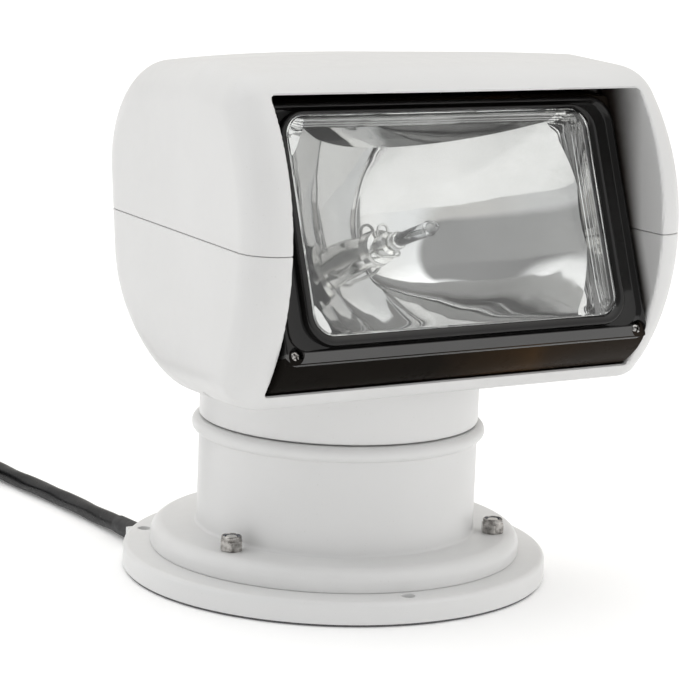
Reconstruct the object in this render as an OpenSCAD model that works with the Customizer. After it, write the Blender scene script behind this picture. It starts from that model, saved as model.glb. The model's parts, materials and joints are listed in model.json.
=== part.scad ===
// Remote-controlled marine searchlight: a panning, tilting lamp head on a round deck pedestal.
// Millimetres, +Z up. The origin is on the pan axis at the underside of the deck gasket;
// the lamp faces -Y and is tilted up by lamp_tilt.

/* [Deck flange] */
// Outer diameter of the round deck flange
flange_d = 165; // [120:1:220]
// Height of the flange top above the deck
flange_h = 9.5; // [6:0.5:16]
// Thickness of the foam gasket under the flange
gasket_t = 1.5; // [0.5:0.5:4]
// Circle that the deck screw holes sit on
deck_pcd = 152.4; // [110:0.1:200]
// Diameter of a deck screw hole
deck_hole_d = 5.2; // [3:0.1:8]
// Bearing of the first deck screw hole
deck_hole_a = 19; // [0:1:119]

/* [Pedestal] */
// Diameter of the stepped foot of the pedestal
foot_d = 144; // [110:1:190]
// Height of the top of the stepped foot
foot_z = 18.3; // [12:0.1:30]
// Diameter of the pedestal column
column_d = 108.3; // [80:0.1:150]
// Height of the top of the pedestal
column_z = 60.5; // [45:0.5:100]
// Diameter of the rounded bead round the top of the column
bead_d = 113.8; // [82:0.1:156]
// Wall of the column
column_wall = 3.5; // [2:0.1:6]
// Circle that the three foot nuts sit on
nut_pcd = 124; // [100:1:160]
// Bearing of the first foot nut
nut_a = 79.5; // [0:0.5:119.5]

/* [Head] */
// Height of the tilt axis and of the seam between the two shells
seam_z = 141; // [110:1:180]
// Half width of the head at its front
head_hw = 91.7; // [70:0.1:120]
// How far each side closes in towards the back
head_taper = 5.5; // [0:0.5:12]
// Radius of the curved front of the head
front_r = 90; // [70:1:120]
// Rounding between the sides and the rest of the head
side_round = 14; // [4:1:20]
// Wall of the shells
shell_wall = 3; // [2:0.1:5]
// Depth of the rim round the lamp opening
rim_depth = 10; // [5:1:16]
// Width of the lamp opening
opening_w = 159.2; // [120:0.2:200]
// Lower edge of the lamp opening
opening_z0 = 89.4; // [80:0.1:110]
// Upper edge of the lamp opening
opening_z1 = 193.7; // [170:0.1:200]

/* [Lamp] */
// Distance of the tilt axis in front of the pan axis
tilt_y = 60; // [30:1:80]
// Upward tilt of the lamp as it stands
lamp_tilt = 20; // [-20:1:25]
// Radius of the drum-shaped lamp bucket
drum_r = 51; // [40:0.5:53]
// Width of the lamp bucket
drum_w = 153; // [120:1:156]
// Width of the bezel
bezel_w = 157; // [130:1:158]
// Upper edge of the bezel above the tilt axis
bezel_top = 45.8; // [35:0.1:48]
// Lower edge of the bezel below the tilt axis
bezel_bot = 46.6; // [35:0.1:48]
// Half width of the glass
lens_hw = 66; // [50:1:70]
// Upper edge of the glass above the tilt axis
lens_top = 39.5; // [30:0.5:44]
// Lower edge of the glass below the tilt axis
lens_bot = 35.5; // [28:0.5:44]
// Focal length of the reflector
focal = 20; // [12:1:30]

/* [Drives] */
// Tooth module of both gear pairs
gear_m = 1; // [0.8:0.1:1.5]
// Teeth on the large pan gear
pan_teeth = 60; // [40:1:66]
// Teeth on the pan pinion
pan_pinion_teeth = 12; // [10:1:16]
// Bearing of the pan motor from the pan axis
pan_motor_a = 45; // [0:1:359]
// Teeth that a full tilt gear would have
tilt_teeth = 124; // [110:2:130]
// Teeth on the tilt pinion
tilt_pinion_teeth = 14; // [12:1:18]

/* [Cable] */
// Diameter of the power cable
cable_d = 7; // [5:0.1:10]
// Middle radius of the coiled cable
coil_r = 40; // [35:1:60]

/* [Hidden] */
$fn = 64;

// White moulding, black moulding and metal colours.
white = [0.90, 0.90, 0.88];
black = [0.06, 0.06, 0.065];
steel = [0.70, 0.71, 0.72];
nylon = [0.88, 0.87, 0.80];

flange_r = flange_d / 2;
foot_r = foot_d / 2;
column_r = column_d / 2;
bead_r = bead_d / 2;
bore_r = column_r - column_wall;
deck_r = deck_pcd / 2;
nut_r = nut_pcd / 2;
deck_z = 56;                  // underside of the plate that closes the column
neck_z = column_z + 0.5;      // underside of the turning neck
hub_r = 24;
hub_bore = 17;
pan_gear_z0 = 46.5;
pan_gear_z1 = 52.5;
pan_c = gear_m * (pan_teeth + pan_pinion_teeth) / 2;
tilt_c = gear_m * (tilt_teeth + tilt_pinion_teeth) / 2;
tilt_pinion_a = 10;           // the tilt pinion sits this far above the level of the tilt axis
front_cy = -3.5;              // the curved front is centred just ahead of the pan axis
motor_r = 12.5;
bulb_r = 3.6;
exit_x = -54.5;               // the cable leaves the flange along +Y here
exit_y = 56.5;                // where its way through the flange turns inwards
exit_z = 4.2;
back_bow = [[52, 10], [26, 16]];   // half widths of the back, and how far each stands out
coil_c = [-108, 222];
coil_z = 0.9;
coil_turn = cable_d + 0.1;
bezel_f = 15.5;               // front of the bezel ahead of the tilt axis
bezel_b = 10;                 // back of the bezel
focus_f = -20;                // focus of the reflector, behind the tilt axis
route = [[exit_x, 68, 4.2], [exit_x, 80, 3.9], [-54.7, 95, 3.6], [-55.1, 112, 3.6], [-55.8, 130, 3.6],
  [-56.9, 148, 3.6], [-58.2, 166, 3.6], [-59.2, 182, 3.8], [-60, 195.5, 4.2]];

// ---- shared shapes ----

module ring(r1, r0, z0, z1) {
  translate([0, 0, z0]) difference() {
    cylinder(r = r1, h = z1 - z0);
    translate([0, 0, -1]) cylinder(r = r0, h = z1 - z0 + 2);
  }
}

module spaced(n, a0, r) {
  for (i = [0 : n - 1]) rotate([0, 0, a0 + i * 360 / n]) translate([r, 0, 0]) children();
}

// Rectangle from (x0, y0) to (x1, y1) with rounded corners.
module rrect(x0, y0, x1, y1, r) {
  union() {
    translate([x0 + r, y0]) square([x1 - x0 - 2 * r, y1 - y0]);
    translate([x0, y0 + r]) square([x1 - x0, y1 - y0 - 2 * r]);
    for (x = [x0 + r, x1 - r]) for (y = [y0 + r, y1 - r]) translate([x, y]) circle(r = r);
  }
}

// A solid drawn with its outline in X and Z, reaching from y = a to y = b.
module xz(a, b) {
  translate([0, b, 0]) rotate([90, 0, 0]) linear_extrude(b - a) children();
}

// A solid drawn with its outline in Y and Z, reaching from x = a to x = b.
module yz(a, b) {
  translate([a, 0, 0]) rotate([90, 0, 90]) linear_extrude(b - a) children();
}

// Cylinder along X.
module xcyl(r, a, b) {
  translate([a, 0, 0]) rotate([0, 90, 0]) cylinder(r = r, h = b - a);
}

// Cylinder along Y.
module ycyl(r, a, b) {
  translate([0, a, 0]) rotate([-90, 0, 0]) cylinder(r = r, h = b - a);
}

// Involute gear outline.
press_a = 25;
function inv(a) = tan(a) * 180 / PI - a;
function tooth_half(n, r) = 90 / n - 0.14 / (gear_m * n / 2) * 180 / PI + inv(press_a)
  - inv(acos(min(1, gear_m * n / 2 * cos(press_a) / r)));
function polar(r, a) = [r * cos(a), r * sin(a)];
function tooth(n, a) = let (rp = gear_m * n / 2, rb = rp * cos(press_a), rr = rp - 1.2 * gear_m,
    ra = rp + 0.85 * gear_m, r0 = max(rb + 0.001, rr))
  concat([polar(rr, a - tooth_half(n, r0) - 0.2)],
    [for (i = [0 : 4]) let (r = r0 + (ra - r0) * i / 4) polar(r, a - tooth_half(n, r))],
    [for (i = [4 : -1 : 0]) let (r = r0 + (ra - r0) * i / 4) polar(r, a + tooth_half(n, r))],
    [polar(rr, a + tooth_half(n, r0) + 0.2)]);
module gear_2d(n, a0) {
  polygon([for (i = [0 : n - 1]) each tooth(n, a0 + i * 360 / n)]);
}

// Pan head of a cross-recess screw standing on z = 0, with its shank below.
module cross_screw(head_r, head_h, shank_r, shank_l) {
  difference() {
    union() {
      cylinder(r = head_r, h = head_h * 0.55);
      translate([0, 0, head_h * 0.55]) cylinder(r1 = head_r, r2 = head_r * 0.7, h = head_h * 0.45);
      translate([0, 0, -shank_l]) cylinder(r = shank_r, h = shank_l);
    }
    for (a = [0, 90]) rotate([0, 0, a]) translate([-head_r * 0.5, -head_r * 0.1, head_h * 0.4])
      cube([head_r, head_r * 0.2, head_h]);
  }
}

// Places a child in the lamp's own frame: its axis on the tilt axis, tilted up.
module in_lamp() {
  translate([0, -tilt_y, seam_z]) rotate([-lamp_tilt, 0, 0]) children();
}

// ---- head outline ----

// Rear discs of the side view of the head, Y across and Z up, set in by d and moved out by back.
module rear_discs(d, back) {
  translate([4 + back, 160]) circle(r = 40 - d, $fn = 48);
  translate([-16 + back, 135]) circle(r = 56 - d, $fn = 64);
}

// All the discs that the side view is stretched round, each set in by d.
module side_discs(d) {
  polygon([for (i = [0 : 20]) let (a = -34 + i * 3.6) [front_cy - (front_r - d) * cos(a), seam_z + (front_r - d) * sin(a)]]);
  translate([-60.5, 185]) circle(r = 18 - d, $fn = 48);
  translate([-35, 186.5]) circle(r = 18 - d, $fn = 48);
  rear_discs(d, 0);
  translate([-70.6 + 0.9 * max(0, d - 3), 87.6 + 0.75 * max(0, d - 3)]) circle(r = max(1, 4 - d), $fn = 24);
}

// The same for the hollow behind the rim.
module hollow_discs(d) {
  e = d - shell_wall;
  polygon([for (i = [0 : 16]) let (a = -40 + i * 5, r = front_r - rim_depth - e) [front_cy - r * cos(a), seam_z + r * sin(a)]]);
  translate([-54, 184]) circle(r = 18 - d, $fn = 32);
  translate([-35, 186.5]) circle(r = 18 - d, $fn = 32);
  rear_discs(d, 0);
  translate([-61 + 0.9 * e, 87.8 + 0.75 * e]) circle(r = 1, $fn = 16);
}

// Plan of the head between its two closing sides, each set in by inset.
module plan(inset) {
  k = tan(head_taper);
  a = head_hw - inset + 35 * k;
  b = head_hw - inset - 165 * k;
  linear_extrude(300) polygon([[-a, -120], [a, -120], [b, 80], [-b, 80]]);
}

// The closed outer form of the head, rounded all round its sides, with a bowed back.
module head_outer() {
  hull() {
    for (a = [0, 22.5, 45, 67.5, 90]) intersection() {
      yz(-100, 100) side_discs(side_round * (1 - sin(a)));
      plan(side_round * (1 - cos(a)));
    }
    for (b = back_bow) yz(-b[0], b[0]) rear_discs(0, b[1]);
  }
}

// The hollow inside the head, behind the rim.
module head_inner() {
  r = side_round - shell_wall;
  hull() {
    for (a = [0, 45, 90]) intersection() {
      yz(-100, 100) hollow_discs(shell_wall + r * (1 - sin(a)));
      plan(shell_wall + r * (1 - cos(a)));
    }
    for (b = back_bow) yz(-b[0], b[0]) rear_discs(shell_wall, b[1]);
  }
}

boss_at = [[-66, 27], [66, 27], [-82, -44], [82, -44]];

// Thin cheeks behind the rim on both sides of the lamp; their back edge slants like the bezel.
module cheeks() {
  intersection() {
    for (x = [-opening_w / 2 - 2.4, opening_w / 2]) yz(x, x + 2.4)
      polygon([[-130, 80], [-69.8, 80], [-69.8, seam_z], [-48.2, seam_z + 60], [-130, seam_z + 60]]);
    head_outer();
  }
}

// ---- fixed base ----

// Way for the cable through the flange: straight out at the edge, then slanting in past the deck screw.
module cable_way(r) {
  translate([exit_x, exit_y, exit_z]) {
    ycyl(r, -2, 40);
    translate([-r, -2, -exit_z - 1]) cube([2 * r, 42, exit_z + 1]);
    rotate([0, 0, 56]) translate([-r, -40, -exit_z - 1]) cube([2 * r, 42, exit_z + 4.4]);
  }
}

module deck_gasket() {
  color([0.10, 0.10, 0.10]) difference() {
    ring(flange_r - 0.8, 60, 0, gasket_t);
    spaced(3, deck_hole_a, deck_r) translate([0, 0, -1]) cylinder(r = deck_hole_d / 2, h = 5);
    cable_way(4.3);
  }
}

module deck_flange() {
  rr = 2;
  color(white) difference() {
    union() {
      rotate_extrude($fn = 128) union() {
        translate([50, flange_h - 3.5]) square([flange_r - rr - 50, 3.5]);
        translate([flange_r - 5, gasket_t]) square([5, flange_h - gasket_t - rr]);
        translate([flange_r - 5, gasket_t]) square([5 - rr, flange_h - gasket_t]);
        translate([flange_r - rr, flange_h - rr]) circle(r = rr);
        translate([50, gasket_t]) square([3, flange_h - gasket_t]);
      }
      spaced(3, deck_hole_a, deck_r) translate([0, 0, gasket_t]) cylinder(r = 5.5, h = flange_h - gasket_t - 1);
      spaced(3, nut_a, nut_r) translate([0, 0, gasket_t]) cylinder(r = 6, h = flange_h - gasket_t - 1);
      intersection() {
        translate([exit_x - 7, 54, gasket_t]) cube([14, 40, flange_h - gasket_t - 1]);
        cylinder(r = flange_r - 1, h = 20);
      }
    }
    spaced(3, deck_hole_a, deck_r) translate([0, 0, -1]) cylinder(r = deck_hole_d / 2, h = 20);
    spaced(3, nut_a, nut_r) translate([0, 0, 4]) cylinder(r = 2.5, h = 20);
    cable_way(4);
  }
}

module pedestal() {
  br = (column_z - 54.5) / 2;
  color(white) difference() {
    union() {
      // stepped foot with a rounded shoulder
      rotate_extrude($fn = 128) union() {
        translate([bore_r, flange_h]) square([foot_r - bore_r - 5, foot_z - flange_h]);
        translate([bore_r, flange_h]) square([foot_r - bore_r, foot_z - flange_h - 5]);
        intersection() {
          translate([foot_r - 5, foot_z - 5]) circle(r = 5);
          translate([foot_r - 10, flange_h]) square([10, foot_z - flange_h]);
        }
      }
      // column, bead and closing plate
      rotate_extrude($fn = 128) union() {
        translate([bore_r, flange_h]) square([column_wall, column_z - flange_h]);
        translate([bore_r, 54.5]) square([bead_r - br - bore_r, 2 * br]);
        translate([bead_r - br, 54.5 + br]) circle(r = br);
        translate([hub_r + 0.08, deck_z]) square([bore_r - hub_r, column_z - deck_z]);
        translate([hub_r + 0.08, 53]) square([9, 4]);
      }
      // posts for the motor bracket
      for (s = [-1, 1]) rotate([0, 0, pan_motor_a + s * 32]) translate([44, 0, 42]) cylinder(r = 4, h = deck_z - 42 + 1);
    }
    for (s = [-1, 1]) rotate([0, 0, pan_motor_a + s * 32]) translate([44, 0, 41]) cylinder(r = 1.5, h = 11);
    spaced(3, nut_a, nut_r) translate([0, 0, 5]) cylinder(r = 2.7, h = 30);
  }
}

module foot_studs() {
  color(steel) spaced(3, nut_a, nut_r) translate([0, 0, 4]) union() {
    cylinder(r = 2.5, h = foot_z + 5.6 - 4);
  }
}

module foot_nuts() {
  color(steel) spaced(3, nut_a, nut_r) rotate([0, 0, 12]) translate([0, 0, foot_z]) difference() {
    union() {
      intersection() {
        cylinder(r = 8 / 2 / cos(30), h = 4, $fn = 6);
        rotate_extrude() polygon([[0, 0], [4.2, 0], [4.7, 0.3], [4.7, 3.6], [4.1, 4], [0, 4]]);
      }
      translate([0, 0, 3.9]) cylinder(r = 3.9, h = 1.3);
      translate([0, 0, 5.2]) cylinder(r1 = 3.9, r2 = 3.5, h = 0.5);
    }
    translate([0, 0, -1]) cylinder(r = 2.5, h = 6);
    translate([0, 0, 4]) cylinder(r = 3.2, h = 5);
  }
}

module nut_inserts() {
  color([0.20, 0.22, 0.28]) spaced(3, nut_a, nut_r) translate([0, 0, foot_z]) ring(3.2, 2.5, 4, 5.4);
}

module thrust_washer() {
  color(nylon) ring(48, 26, column_z, column_z + 0.45);
}

module pan_motor() {
  color([0.62, 0.63, 0.64]) rotate([0, 0, pan_motor_a]) translate([pan_c, 0, 0]) difference() {
    union() {
      translate([0, 0, 9]) cylinder(r = 12, h = 17);
      translate([0, 0, 26]) cylinder(r = motor_r, h = 14);
      translate([0, 0, 40]) cylinder(r = 3.4, h = 3);
      translate([0, 0, 7]) cylinder(r = 4, h = 2);
    }
    translate([0, 0, 34]) cylinder(r = 2.04, h = 12);
  }
}

module pan_motor_bracket() {
  color(steel) translate([0, 0, 40]) linear_extrude(2) difference() {
    union() {
      rotate(pan_motor_a) translate([pan_c, 0]) circle(r = 12);
      for (s = [-1, 1]) rotate(pan_motor_a + s * 32) translate([44, 0]) circle(r = 4);
      rotate(pan_motor_a) translate([34, -23.5]) square([5, 47]);
    }
    rotate(pan_motor_a) translate([pan_c, 0]) circle(r = 3.5);
    for (s = [-1, 1]) rotate(pan_motor_a + s * 32) translate([44, 0]) circle(r = 1.6);
  }
}

module pan_bracket_screws() {
  color(steel) for (s = [-1, 1]) rotate([0, 0, pan_motor_a + s * 32]) translate([44, 0, 40]) mirror([0, 0, 1])
    cross_screw(2.8, 2, 1.45, 11);
}

module pan_pinion() {
  color(nylon) rotate([0, 0, pan_motor_a]) translate([pan_c, 0, 0]) union() {
    translate([0, 0, 46]) linear_extrude(6.8) gear_2d(pan_pinion_teeth, 180 + 180 / pan_pinion_teeth);
    translate([0, 0, 35]) cylinder(r = 2, h = 11.5);
  }
}

// ---- power cable ----

module cable_grommet() {
  color(black) translate([exit_x, 0, exit_z]) difference() {
    union() {
      ycyl(4, exit_y + 0.5, 63);
      translate([0, 63, 0]) rotate([-90, 0, 0]) cylinder(r1 = 4, r2 = 3.7, h = 14);
    }
    ycyl(3.5, exit_y, 78);
  }
}

// Tube along a list of points.
module tube(pts, r, n) {
  k = len(pts);
  function dir(i) = let (d = pts[min(i + 1, k - 1)] - pts[max(i - 1, 0)]) d / norm(d);
  vs = [for (i = [0 : k - 1]) let (t = dir(i), u = cross(t, [0, 0, 1]), v = cross(u, t))
    each [for (j = [0 : n - 1]) pts[i] + r * (u / norm(u) * cos(360 * j / n) + v / norm(v) * sin(360 * j / n))]];
  fs = concat([[for (j = [0 : n - 1]) j]], [[for (j = [n - 1 : -1 : 0]) (k - 1) * n + j]],
    [for (i = [0 : k - 2]) for (j = [0 : n - 1]) [i * n + j, (i + 1) * n + j, (i + 1) * n + (j + 1) % n, i * n + (j + 1) % n]]);
  polyhedron(vs, fs);
}

module power_cable() {
  color(black) tube(route, cable_d / 2, 10);
}

module cable_coil() {
  w = 1.5 * coil_turn;
  color(black) translate([coil_c[0], coil_c[1], coil_z]) rotate_extrude()
    polygon([[coil_r - w, 1.5], [coil_r - w + 1.5, 0], [coil_r + w - 1.5, 0], [coil_r + w, 1.5], [coil_r + w, 5.5],
      [coil_r + w - 4.5, 13.2], [coil_r - w + 4.5, 13.2], [coil_r - w, 5.5]]);
}

module coil_tie() {
  w = 1.5 * coil_turn + 0.4;
  color([0.12, 0.12, 0.13]) translate([coil_c[0], coil_c[1], 0]) rotate([0, 0, 110]) translate([coil_r, 0, 0])
    xz(-4, 4) difference() {
      polygon([[-w - 1, 0], [w + 1, 0], [w + 1, 7.5], [w - 4, 15.7], [4 - w, 15.7], [-w - 1, 7.5]]);
      polygon([[-w, 0.8], [w, 0.8], [w, 7], [w - 4.4, 14.7], [4.4 - w, 14.7], [-w, 7]]);
    }
}

module at_connector() {
  // the cable runs straight into it off the top of the coil
  translate([coil_c[0], coil_c[1], 0]) rotate([0, 0, 175]) translate([coil_r, 18, 22.8]) children();
}

module cable_connector() {
  color(black) at_connector() difference() {
    union() {
      ycyl(6.2, -18, -8);
      ycyl(8, -8, 10);
      ycyl(7.2, 10, 22);
    }
    ycyl(3.5, -19, -10);
    ycyl(5.8, 12, 23);
  }
}

module connector_collar() {
  color(black) at_connector() difference() {
    ycyl(8.4, 11, 19);
    ycyl(7.3, 10, 20);
  }
}

// ---- turning head ----

module lower_shell() {
  color(white) difference() {
    union() {
      difference() {
        union() {
          intersection() {
            head_outer();
            translate([-120, -120, 40]) cube([240, 240, seam_z - 0.1 - 40]);
          }
          translate([0, 0, neck_z]) cylinder(r = column_r, h = 66, $fn = 128);
        }
        head_inner();
        translate([0, 0, neck_z + 3.5]) cylinder(r = column_r - 3.5, h = 60);
        // lamp opening
        translate([-opening_w / 2, -130, opening_z0]) cube([opening_w, 90, 100]);
      }
      // screw bosses
      intersection() {
        for (p = boss_at) translate([p[0], p[1], 86]) cylinder(r = abs(p[0]) > 70 ? 3.6 : 5, h = seam_z - 86.1);
        head_outer();
      }
      // seats for the trunnion bushes
      intersection() {
        for (s = [-1, 1]) translate([s > 0 ? 82.5 : -92.5, -tilt_y - 9, seam_z - 14]) cube([10, 18, 13.9]);
        head_outer();
      }
      intersection() {
        cheeks();
        translate([-120, -120, 40]) cube([240, 240, seam_z - 0.1 - 40]);
      }
    }
    translate([0, 0, neck_z - 1]) cylinder(r = hub_r + 0.3, h = 6);
    spaced(3, 30, 27.3) translate([0, 0, neck_z - 1]) cylinder(r = 1.45, h = 6);
    translate([-40, 7, neck_z - 1]) cylinder(r = 1.45, h = 6);
    for (p = boss_at) {
      translate([p[0], p[1], 60]) cylinder(r = abs(p[0]) > 70 ? 2.5 : 3, h = 60);
      translate([p[0], p[1], 60]) cylinder(r = 1.6, h = 100);
    }
    translate([0, -tilt_y, seam_z]) xcyl(7.05, -86.1, 86.1);
  }
}

module upper_shell() {
  color(white) difference() {
    union() {
      difference() {
        intersection() {
          head_outer();
          translate([-120, -120, seam_z + 0.1]) cube([240, 240, 120]);
        }
        head_inner();
        translate([-opening_w / 2, -130, seam_z - 10]) cube([opening_w, 90, opening_z1 - seam_z + 10]);
      }
      intersection() {
        for (p = boss_at) translate([p[0], p[1], seam_z + 0.1]) cylinder(r = abs(p[0]) > 70 ? 3.6 : 5, h = 62);
        head_outer();
      }
      intersection() {
        for (s = [-1, 1]) translate([s > 0 ? 82.5 : -92.5, -tilt_y - 9, seam_z + 0.1]) cube([10, 18, 13.9]);
        head_outer();
      }
      intersection() {
        cheeks();
        translate([-120, -120, seam_z + 0.1]) cube([240, 240, 120]);
      }
    }
    for (p = boss_at) translate([p[0], p[1], seam_z - 1]) cylinder(r = 1.3, h = 20);
    translate([0, -tilt_y, seam_z]) xcyl(7.05, -86.1, 86.1);
  }
}

module shell_screws() {
  color(steel) for (p = boss_at) translate([p[0], p[1], 120]) mirror([0, 0, 1])
    cross_screw(abs(p[0]) > 70 ? 2.3 : 2.7, 2.2, 1.3, 36);
}

module pan_hub() {
  color(nylon) difference() {
    union() {
      ring(hub_r, hub_bore, pan_gear_z1, 68);
      ring(30.6, hub_bore, neck_z + 3.5, 68);
    }
    spaced(3, 90, 20.5) translate([0, 0, 50]) cylinder(r = 1.5, h = 12);
    spaced(3, 30, 27.3) translate([0, 0, 60]) cylinder(r = 1.6, h = 12);
  }
}

module hub_screws() {
  color(steel) spaced(3, 30, 27.3) translate([0, 0, 68]) cross_screw(2.8, 2, 1.45, 6.6);
}

module pan_gear() {
  color(nylon) translate([0, 0, pan_gear_z0]) difference() {
    linear_extrude(pan_gear_z1 - pan_gear_z0) gear_2d(pan_teeth, pan_motor_a);
    translate([0, 0, -1]) cylinder(r = hub_bore, h = 20);
    spaced(3, 90, 20.5) translate([0, 0, -1]) cylinder(r = 1.6, h = 20);
  }
}

module pan_gear_screws() {
  color(steel) spaced(3, 90, 20.5) translate([0, 0, pan_gear_z0]) mirror([0, 0, 1]) cross_screw(2.8, 2, 1.45, 14);
}

module hub_grommet() {
  color(black) union() {
    ring(hub_bore, 6, 62, 68);
    ring(20, 6, 68, 70);
  }
}

module trunnion_bushes() {
  color(nylon) translate([0, -tilt_y, seam_z]) for (s = [-1, 1]) difference() {
    union() {
      xcyl(7, s > 0 ? 80 : -86, s > 0 ? 86 : -80);
      xcyl(9, s > 0 ? 79.4 : -81.4, s > 0 ? 81.4 : -79.4);
    }
    xcyl(4.06, -85.4, 85.4);
  }
}

module at_tilt_pinion() {
  translate([0, -tilt_y + tilt_c * cos(tilt_pinion_a), seam_z + tilt_c * sin(tilt_pinion_a)]) children();
}

module tilt_motor() {
  color([0.62, 0.63, 0.64]) at_tilt_pinion() difference() {
    union() {
      xcyl(motor_r, -47, -33);
      xcyl(12, -68, -47);
      xcyl(4, -70, -68);
      xcyl(3.4, -33, -30.2);
    }
    xcyl(2.04, -40, -30);
  }
}

module tilt_motor_bracket() {
  color(steel) difference() {
    union() {
      translate([-33, -4, neck_z + 3.5]) cube([2, 20, 104]);
      translate([-46, 0, neck_z + 3.5]) cube([14, 14, 2]);
    }
    at_tilt_pinion() xcyl(3.5, -40, -20);
    translate([-40, 7, 60]) cylinder(r = 1.6, h = 10);
  }
}

module tilt_bracket_screws() {
  color(steel) translate([-40, 7, neck_z + 5.5]) cross_screw(2.8, 2, 1.45, 5);
}

module tilt_pinion() {
  color(nylon) at_tilt_pinion() union() {
    translate([-29.6, 0, 0]) rotate([90, 0, 90]) linear_extrude(6.6)
      gear_2d(tilt_pinion_teeth, 180 + tilt_pinion_a + 180 / tilt_pinion_teeth);
    xcyl(2, -39, -29.5);
  }
}

module terminal_block() {
  color([0.12, 0.12, 0.13]) translate([31, -2, neck_z + 3.5]) difference() {
    cube([11, 24, 11]);
    for (i = [0 : 2]) translate([5.5, 4 + 8 * i, 4]) cylinder(r = 2, h = 10);
    for (i = [0 : 2]) translate([-1, 4 + 8 * i, 3.5]) rotate([0, 90, 0]) cylinder(r = 1.4, h = 20);
  }
}

// ---- tilting lamp ----

module lamp_bucket() {
  color(black) in_lamp() difference() {
    intersection() {
      xcyl(drum_r, -drum_w / 2, drum_w / 2);
      translate([-100, -bezel_b, -100]) cube([200, 200, 200]);
    }
    difference() {
      xcyl(drum_r - 2, -drum_w / 2 + 2, drum_w / 2 - 2);
      // bosses for the bezel screws
      for (s = [-1, 1]) translate([s * 74.4, 0, -43.2]) ycyl(3, -bezel_b, 20);
    }
    for (s = [-1, 1]) translate([s * 74.4, 0, -43.2]) ycyl(1.3, -20, 6);
    xcyl(4, -100, 100);
    ycyl(17, 20, 80);
    sector_holes();
  }
}

// Screw holes of the toothed strip, in the lamp's frame.
module sector_holes() {
  for (a = [-12, 24]) rotate([a, 0, 0]) translate([-21.9, 0, 0]) ycyl(1.02, 40, 60);
}

module trunnion_pins() {
  color(steel) translate([0, -tilt_y, seam_z]) for (s = [-1, 1])
    union() {
      xcyl(4, s > 0 ? 74.5 : -85, s > 0 ? 85 : -74.5);
      xcyl(6.5, s > 0 ? 72.5 : -74.5, s > 0 ? 74.5 : -72.5);
    }
}

module tilt_sector() {
  // a toothed strip on the back of the drum, on a curved foot
  color(nylon) difference() {
    translate([0, -tilt_y, seam_z]) union() {
      yz(-28.5, -24.5) intersection() {
        difference() {
          gear_2d(tilt_teeth, tilt_pinion_a);
          circle(r = drum_r + 0.02);
        }
        polygon([[0, 0], polar(90, -40), polar(98, -8), polar(90, 24)]);
      }
      yz(-33, -19.4) intersection() {
        difference() {
          circle(r = drum_r + 2.5);
          circle(r = drum_r + 0.02);
        }
        polygon([[0, 0], polar(90, -40), polar(98, -8), polar(90, 24)]);
      }
    }
    in_lamp() sector_holes();
  }
}

module sector_screws() {
  color(steel) in_lamp() for (a = [-12, 24]) rotate([a, 0, 0]) translate([-21.9, drum_r + 2.5, 0]) rotate([-90, 0, 0])
    cross_screw(1.8, 1.4, 1, 5);
}

module bezel() {
  color(black) in_lamp() difference() {
    union() {
      // frame with rounded upper corners and squarer lower ears
      xz(-bezel_f + 1.4, -bezel_b) union() {
        rrect(-bezel_w / 2, -bezel_bot, bezel_w / 2, bezel_top, 5);
      }
      // raised ridge round the glass
      xz(-17.2, -bezel_f + 1.4) rrect(-lens_hw - 3.4, -lens_bot - 5.4, lens_hw + 3.4, lens_top + 3.4, 11);
      // outer edge and lower bar
      xz(-bezel_f, -bezel_f + 1.4) difference() {
        rrect(-bezel_w / 2, -bezel_bot, bezel_w / 2, bezel_top, 5);
        rrect(-bezel_w / 2 + 1.6, -lens_bot - 6.2, bezel_w / 2 - 1.6, bezel_top - 1.6, 7);
      }
    }
    xz(-30, 0) rrect(-lens_hw, -lens_bot, lens_hw, lens_top, 8);
    // trimmed upper corners
    for (s = [-1, 1]) translate([s * (bezel_w / 2 - 10), 0, bezel_top - 10]) xz(-30, 0) difference() {
      translate([s > 0 ? 0 : -20, 0]) square([20, 20]);
      circle(r = 10);
    }
    for (s = [-1, 1]) translate([s * 74.4, 0, -43.2]) {
      ycyl(1.6, -30, 0);
      ycyl(2.9, -30, -bezel_f + 2.2);
    }
  }
}

module bezel_screws() {
  color(steel) in_lamp() for (s = [-1, 1]) translate([s * 74.4, -bezel_f + 2.2, -43.2]) rotate([90, 0, 0])
    cross_screw(2.6, 1.9, 1.25, 12);
}

module lens_glass() {
  color([0.85, 0.90, 0.92, 0.35]) in_lamp() xz(-16.4, -12.4) rrect(-lens_hw + 0.1, -lens_bot + 0.1, lens_hw - 0.1, lens_top - 0.1, 7.9);
}

module lens_gasket() {
  color([0.08, 0.08, 0.08]) in_lamp() xz(-12.4, -11.4) difference() {
    rrect(-lens_hw + 0.1, -lens_bot + 0.1, lens_hw - 0.1, lens_top - 0.1, 7.9);
    rrect(-lens_hw + 2, -lens_bot + 2, lens_hw - 2, lens_top - 2, 6);
  }
}

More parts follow.
